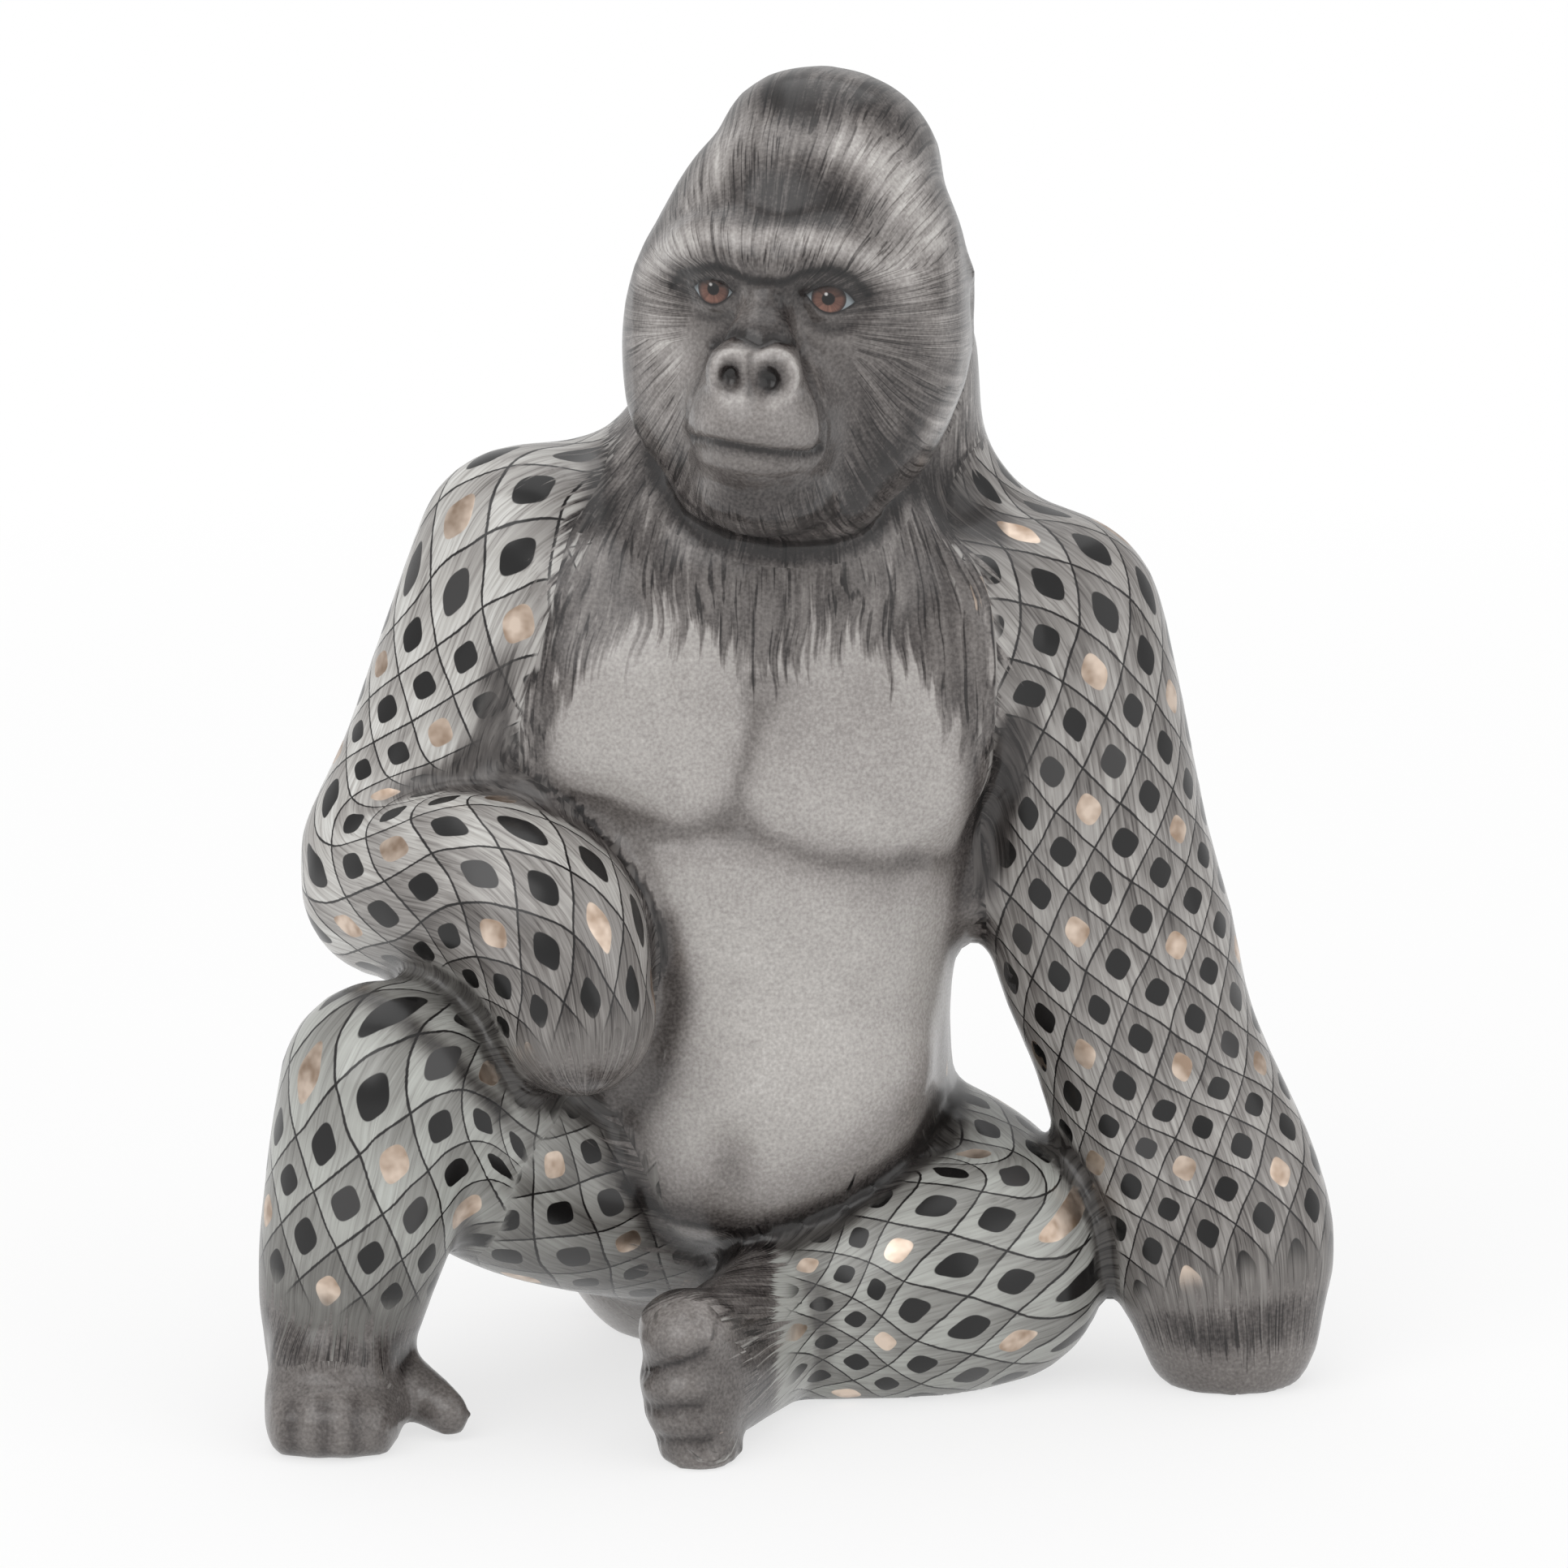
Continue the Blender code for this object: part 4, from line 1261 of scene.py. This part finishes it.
HEAD_MARKS = marks(
    # Pale forehead, right of the middle
    (9, 0.63, 1, 868, 241, 902, 169, 936, 132),
    # Pale band across the forehead
    (4.5, 0.5, 0.8, 936, 182, 995, 195, 1037, 186),
    # Dark crest, and its darkest part
    (6, 0.16, 0.95, 961, 111, 1020, 123, 1071, 144),
    (3.5, 0.12, 0.8, 985, 128, 1050, 158),
    # Pale sweep over its left temple
    (9, 0.77, 0.95, 1060, 190, 1110, 230, 1146, 296),
    (4, 0.62, 0.7, 1040, 262, 1090, 285, 1130, 330),
    # Pale sweep before its left ear: painted reflection along the edge of the head
    (6, 0.56, 0.8, 1121, 325, 1151, 380, 1163, 431),
    # Dark forehead, its darkest part, and the part over the right brow
    (6.5, 0.26, 0.9, 930, 238, 986, 226, 1037, 252),
    (3.0, 0.22, 0.85, 925, 262, 960, 266, 1010, 272),
    (3, 0.43, 0.7, 877, 254, 911, 262),
    # Pale brow as a painted highlight, its right end and its middle
    (
        2.7, 0.66, 1, 797, 334, 826, 302, 877, 287, 936, 296, 991, 292, 1037, 304, 1079, 321, 1121,
        340,
    ),
    (3.0, 0.72, 0.8, 790, 335, 815, 308, 845, 296),
    (1.3, 0.5, 0.7, 951, 300, 953, 329),
    # Mid of the face
    (9, 0.42, 0.8, 877, 405, 936, 405, 995, 418),
    # Right cheek, above and below
    (6, 0.68, 0.9, 805, 405, 826, 439),
    (6, 0.56, 0.8, 797, 473, 818, 515),
    # Left cheek, and beside the mouth
    (5, 0.5, 0.8, 1045, 431, 1079, 431),
    (10, 0.37, 0.9, 1045, 494, 1104, 506),
    # Left jaw
    (4.5, 0.23, 0.9, 1121, 536, 1062, 612, 995, 641),
    # Chin
    (7, 0.28, 0.9, 898, 620, 961, 624, 1020, 620),
    # Upper lip and its corner
    (4.6, 0.56, 1, 873, 515, 919, 511, 974, 523),
    (3, 0.54, 0.8, 991, 532),
    # Lower lip and right of it
    (1.8, 0.5, 0.9, 864, 559, 898, 565, 936, 569, 995, 567),
    (4, 0.48, 0.7, 873, 591),
    # Painted shade in the right eye socket
    (2.7, 0.25, 0.95, 839, 351, 877, 351, 906, 355),
    # Painted shade in the left eye socket
    (3.0, 0.22, 0.95, 991, 359, 1024, 351, 1058, 369),
    # Under the right eye
    (1.6, 0.42, 0.8, 864, 384, 898, 380),
    # Under the left eye
    (1.7, 0.4, 0.8, 1003, 397, 1033, 399, 1058, 384),
    # Nose bridge with painted highlights on it and its right edge, painted shade on its left edge
    (3.6, 0.3, 0.9, 934, 362, 934, 397),
    (1.3, 0.46, 0.85, 930, 366, 926, 392),
    (1.3, 0.5, 0.8, 917, 363, 911, 397),
    (1.6, 0.22, 0.8, 961, 367, 969, 397),
    # Above the nostrils
    (2.0, 0.3, 0.8, 902, 405, 936, 409, 969, 409),
    # Painted highlight on the rim of the right nostril, above and below
    (1.3, 0.74, 0.95, 879, 464, 885, 439, 902, 431, 919, 439, 923, 460),
    (1.2, 0.68, 0.9, 878, 477, 893, 496, 913, 492),
    # Painted highlight on the rim of the left nostril
    (1.4, 0.7, 0.95, 936, 439, 953, 431, 974, 439, 984, 464, 976, 487, 953, 498),
    # Painted shade in the wing crease
    (1.1, 0.25, 0.6, 989, 436, 995, 464, 1009, 498, 1015, 527, 1010, 548),
    (3.0, 0.3, 0.6, 1004, 470, 1022, 515, 1024, 560),
    # Painted highlight beside the wing crease
    (0.6, 0.5, 0.6, 995, 431, 1005, 464, 1017, 498),
    # Painted shade in the right fold of the muzzle
    (0.9, 0.3, 0.85, 847, 506, 845, 527, 854, 544),
    # Painted shade in the fold under the right corner
    (0.9, 0.35, 0.7, 835, 548, 841, 603),
    # Painted shade in the fold beside the lower lip
    (0.8, 0.33, 0.6, 857, 561, 866, 603),
    # Painted highlight between the folds
    (0.9, 0.56, 0.7, 847, 557, 852, 603),
    # Painted shade in the crease over the nostrils
    (1.0, 0.14, 0.9, 881, 426, 902, 412, 923, 418, 936, 426, 953, 418, 978, 424),
    # Between the nostrils
    (0.7, 0.3, 0.7, 923, 439, 924, 485),
    # Right nostril, dark as painted shade in its hollow, with a painted reflection in it
    (2.3, 0.12, 1, 898, 461),
    (0.9, 0.4, 0.7, 893, 472, 901, 475),
    # Left nostril, dark as painted shade in its hollow, with a paler patch in it
    (2.4, 0.07, 1, 949, 466),
    (0.7, 0.27, 0.6, 945, 480, 953, 480),
    # Mouth
    (0.6, 0.06, 0.95, 852, 538, 881, 544, 919, 552, 961, 558, 995, 559, 1010, 553),
    (1.4, 0.27, 0.45, 856, 545, 900, 552, 961, 564, 1000, 562),
    # Painted shade in a line under the brow
    (
        0.65, 0.04, 0.95, 828, 352, 842, 336, 881, 328, 905, 336, 925, 346, 964, 348, 990, 336,
        1024, 331, 1050, 342, 1070, 362,
    ),
    # Painted shade along the jaw line
    (
        1.0, 0.2, 0.7, 784, 527, 805, 569, 839, 612, 881, 645, 911, 660, 969, 660, 1016, 643, 1060,
        620,
    ),
    # Folds under the eyes: painted shade in the creases, a painted highlight on the left one's
    # ridge
    (0.9, 0.2, 0.6, 1000, 398, 1025, 408, 1050, 402),
    (0.8, 0.5, 0.6, 985, 402, 1008, 418, 1036, 420),
    (0.8, 0.24, 0.6, 862, 388, 880, 393, 898, 388),
    # Painted shade in the fold from the right eye to the muzzle
    (1.0, 0.27, 0.6, 905, 392, 895, 410, 872, 440, 858, 480),
    # Painted highlight on the rim of the left ear, and painted shade in its hollow
    (1.0, 0.62, 0.8, 1160, 312, 1172, 335, 1172, 368, 1160, 392),
    (2.0, 0.36, 0.5, 1158, 325, 1161, 372),
    # Pale fur behind the jaw: painted reflection along the edge of the head
    (3, 0.6, 0.8, 1191, 431, 1176, 498, 1142, 540),
)

SKIN_MARKS = marks(
    # Chest, its right and its left
    (14, 0.68, 0.8, 800, 880, 850, 900),
    (14, 0.63, 0.8, 1010, 880, 1080, 900),
    # Belly
    (20, 0.73, 0.9, 900, 1180, 940, 1300, 930, 1380),
    # Right and left edges of the belly, darker as painted shade where it turns away
    (5, 0.5, 0.7, 815, 1200, 800, 1330, 770, 1420),
    (6, 0.5, 0.75, 1190, 1150, 1170, 1280, 1130, 1370),
    # Painted shade along the breast bone, soft and then sharp
    (4.0, 0.55, 0.5, 938, 860, 918, 940, 900, 1010),
    (1.2, 0.4, 0.55, 936, 870, 918, 940, 900, 1010),
    # Painted shade in the folds under the breasts, soft and then sharp
    (4.0, 0.5, 0.55, 690, 985, 760, 1020, 830, 1036, 890, 1024),
    (4.5, 0.48, 0.55, 895, 1022, 950, 1046, 1020, 1072, 1090, 1082, 1170, 1070),
    (1.5, 0.4, 0.6, 700, 990, 760, 1015, 830, 1028, 890, 1018),
    (1.5, 0.4, 0.6, 895, 1015, 950, 1038, 1020, 1062, 1090, 1072, 1160, 1060),
    # Below the breasts
    (6, 0.67, 0.5, 780, 1090, 900, 1110, 1080, 1150),
    # Navel, darkened as painted shade in its hollow
    (4.0, 0.45, 0.7, 900, 1435, 903, 1450),
    # Low belly
    (6, 0.5, 0.6, 770, 1410, 830, 1470, 930, 1490, 1040, 1450, 1110, 1380),
    # Painted shadow under the forearm
    (2.6, 0.3, 0.75, 818, 1140, 835, 1230, 815, 1320, 775, 1380),
    # Painted shade at the sides of the chest, beside the arms
    (2.4, 0.36, 0.7, 668, 870, 665, 930, 680, 985),
    (3.4, 0.3, 0.8, 1205, 900, 1203, 1000, 1190, 1100),
)

FOLD_MARKS = marks(
    # Painted shade in the lap, where the belly meets the legs, soft and then sharp
    (3.0, 0.3, 0.8, 760, 1440, 820, 1490, 930, 1512, 1040, 1478, 1120, 1412, 1165, 1340),
    (1.1, 0.1, 0.8, 770, 1460, 830, 1505, 930, 1522, 1045, 1488, 1130, 1420, 1185, 1350),
    # Painted shadow under the jaw, then a paler band below it
    (2.4, 0.28, 0.45, 815, 625, 900, 690, 1010, 684, 1090, 645),
    (3.2, 0.4, 0.6, 860, 704, 950, 726, 1060, 702),
    # Shade between the raised arm and the knee
    (2.2, 0.22, 0.8, 430, 1212, 490, 1250, 560, 1310, 620, 1370),
    # Toes of the left foot: painted highlights on the crowns, then creases in painted shade
    (4, 0.5, 0.8, 800, 1640, 850, 1625),
    (2.2, 0.5, 0.8, 800, 1712, 850, 1706),
    (2.0, 0.46, 0.8, 800, 1755, 860, 1752),
    *(
        (*first, *points)
        for points, level, share in zip(TOE_CREASES, (0.1, 0.13, 0.16), (0.85, 0.8, 0.75))
        for first in ((0.6, level, share), (2.0, 0.34, 0.45))
    ),
    # Toes of the right foot: painted highlights on the ridges, painted shade in grooves and below
    (3.5, 0.44, 0.7, 345, 1700, 440, 1700),
    (1.6, 0.48, 0.8, 340, 1720, 336, 1780),
    (1.6, 0.5, 0.8, 379, 1725, 379, 1785),
    (1.6, 0.48, 0.8, 419, 1725, 419, 1785),
    (1.5, 0.46, 0.8, 455, 1725, 456, 1780),
    (1.2, 0.3, 0.6, 358, 1730, 359, 1795),
    (1.2, 0.3, 0.6, 399, 1730, 400, 1798),
    (1.2, 0.3, 0.6, 438, 1730, 437, 1796),
    (1.6, 0.26, 0.8, 330, 1800, 400, 1808, 470, 1796),
    # Big toe of the right foot
    (1.8, 0.5, 0.8, 505, 1705, 560, 1745),
    # Forearm
    (14, 0.47, 0.75, 520, 1150, 700, 1200, 760, 1330),
    # Fist: dark fur, the ridge of the knuckles and the flat face below it
    (2.6, 0.28, 0.55, 1440, 1632, 1500, 1655, 1540, 1662),
    (2.8, 0.5, 0.8, 1535, 1674, 1588, 1668),
    (2.4, 0.45, 0.7, 1450, 1692, 1520, 1704),
)

MODELLING = marks(
    # Hollow of the right nostril, then of the left
    (1.7, -1.5, 1, 897, 463, 899, 467),
    (1.8, -1.5, 1, 948, 467, 950, 470),
    # Rims of the nostrils
    (1.0, 0.3, 1, 881, 470, 881, 447, 893, 433, 910, 435),
    (1.0, 0.3, 1, 944, 433, 964, 433, 979, 450, 980, 474, 964, 490),
    # Mouth
    (0.8, -0.7, 1, 852, 538, 881, 543, 919, 551, 961, 557, 995, 559, 1012, 553),
    # Edge of the lower lip
    (1.3, -0.3, 1, 872, 580, 905, 588, 960, 590, 990, 582),
    # Wing creases beside the muzzle
    (1.1, -0.55, 1, 989, 436, 996, 464, 1010, 498, 1016, 530, 1010, 556),
    (1.1, -0.4, 1, 866, 440, 856, 480, 847, 510, 848, 545),
    # Upper lids
    (0.9, 0.4, 1, 853, 352, 866, 343, 880, 340, 895, 345, 904, 355),
    (0.9, 0.4, 1, 992, 360, 1005, 351, 1022, 347, 1040, 353, 1055, 370),
    # Lower lids
    (0.8, 0.3, 1, 858, 368, 872, 378, 890, 377, 901, 366),
    (0.8, 0.3, 1, 996, 374, 1008, 387, 1028, 390, 1048, 383),
    # Under the brow
    (1.2, -0.4, 1, 826, 347, 845, 329, 881, 322, 915, 336),
    (1.2, -0.4, 1, 985, 343, 1020, 334, 1045, 343, 1067, 358),
    # Crease between the brows
    (1.4, -0.4, 1, 950, 296, 952, 318, 948, 335),
    # Creases over the nose
    (1.0, -0.4, 1, 880, 425, 902, 412, 923, 418, 936, 426, 953, 418, 980, 424),
    # Breast bone and the folds under the breasts
    (2.2, -0.4, 1, 935, 850, 918, 930, 900, 1010),
    (2.4, -0.4, 1, 690, 985, 760, 1015, 830, 1028, 890, 1018),
    (2.4, -0.4, 1, 895, 1015, 950, 1038, 1020, 1062, 1090, 1072, 1170, 1060),
    # Creases of the toes
    *((1.1, -0.5, 1, *points) for points in TOE_CREASES),
    # Navel
    (3.0, -0.5, 1, 900, 1437),
)


class Gorilla:
    """The figurine: one cast piece with its paint."""

    def __init__(self, camera: StudioCamera) -> None:
        """Keeps the camera that the marks are seen from."""
        self.camera = camera
        self.head = HeadFrame()
        self.clay = Porcelain(camera)

    def face_share(self) -> np.ndarray:
        """1 on the face, 0 elsewhere."""
        x, y, z = self.head.inside(self.clay.spots()).T
        return rise(-y, 8, 13) * rise(z, -34, -30) * (1 - rise(z, 18, 23)) * (
            1 - rise(abs(x), 23, 27),
        )

    def form(self) -> None:
        """Makes the mesh: an even copy of the solid, finer on face and toes, then modelled."""
        self.clay.copy_solid(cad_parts[NODE], EVEN_FACE)
        share = self.face_share()
        self.clay.relax(1 - 0.75 * share, 12)
        self.clay.refine(share > 0.5, 2)
        x, y, z = self.clay.spots().T
        self.clay.refine((z < 22) & (y < -24) & (x < 0), 1)
        x, y, z = self.clay.spots().T
        toes = (1 - rise(z, 17, 22)) * (1 - rise(y, -26, -20)) * (1 - rise(x, -4, 0))
        self.clay.relax(np.maximum(self.face_share(), toes), 4)
        self.clay.relax(toes, 14)
        self.clay.relax(rise(self.clay.hollows(20), 0.1, 0.4) * (1 - self.face_share()), 12)
        self.clay.look()
        spots = self.clay.spots()
        tip = self.clay.cover(BIG_TOE_TIP)[:, None]
        self.clay.put(spots + (self.clay.blended(spots, 20) - spots) * tip)
        self.clay.model(MODELLING)

    def paint(self) -> None:
        """Lays the paint fields and the material."""
        painter = Painter(self.clay, LIMBS, NET_CELL)
        self.clay.look()
        painter.base(self.head)
        painter.shade()
        painter.brush(SKIN_MARKS, columns=1)
        painter.brush(FOLD_MARKS)
        painter.brush(HEAD_MARKS)
        painter.write(self.head)
        back = self.head.matrix().inverted()
        eyes = [(back @ Vector(self.clay.under((eye.middle,))[0]), eye) for eye in EYES]
        self.clay.mesh.materials.clear()
        self.clay.mesh.materials.append(HandPaintedGlaze().build(eyes))

    def build(self) -> bpy.types.Object:
        """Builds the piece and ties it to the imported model."""
        self.form()
        self.paint()
        mesh = self.clay.mesh
        mesh.name = "porcelain_gorilla"
        mesh.shade_smooth()
        piece = bpy.data.objects.new("porcelain_gorilla", mesh)
        bpy.context.scene.collection.objects.link(piece)
        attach(piece, BODY)
        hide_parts(NODE)
        triangles = sum(len(face.vertices) - 2 for face in mesh.polygons)
        LOG.info("%s: %d triangles", piece.name, triangles)
        return piece


def main() -> None:
    """Builds the studio, the camera and the figurine."""
    logging.basicConfig(level=logging.INFO, format="%(name)s: %(message)s")
    camera = StudioCamera()
    camera.build()
    Studio().build()
    Gorilla(camera).build()


if __name__ == "__main__":
    main()
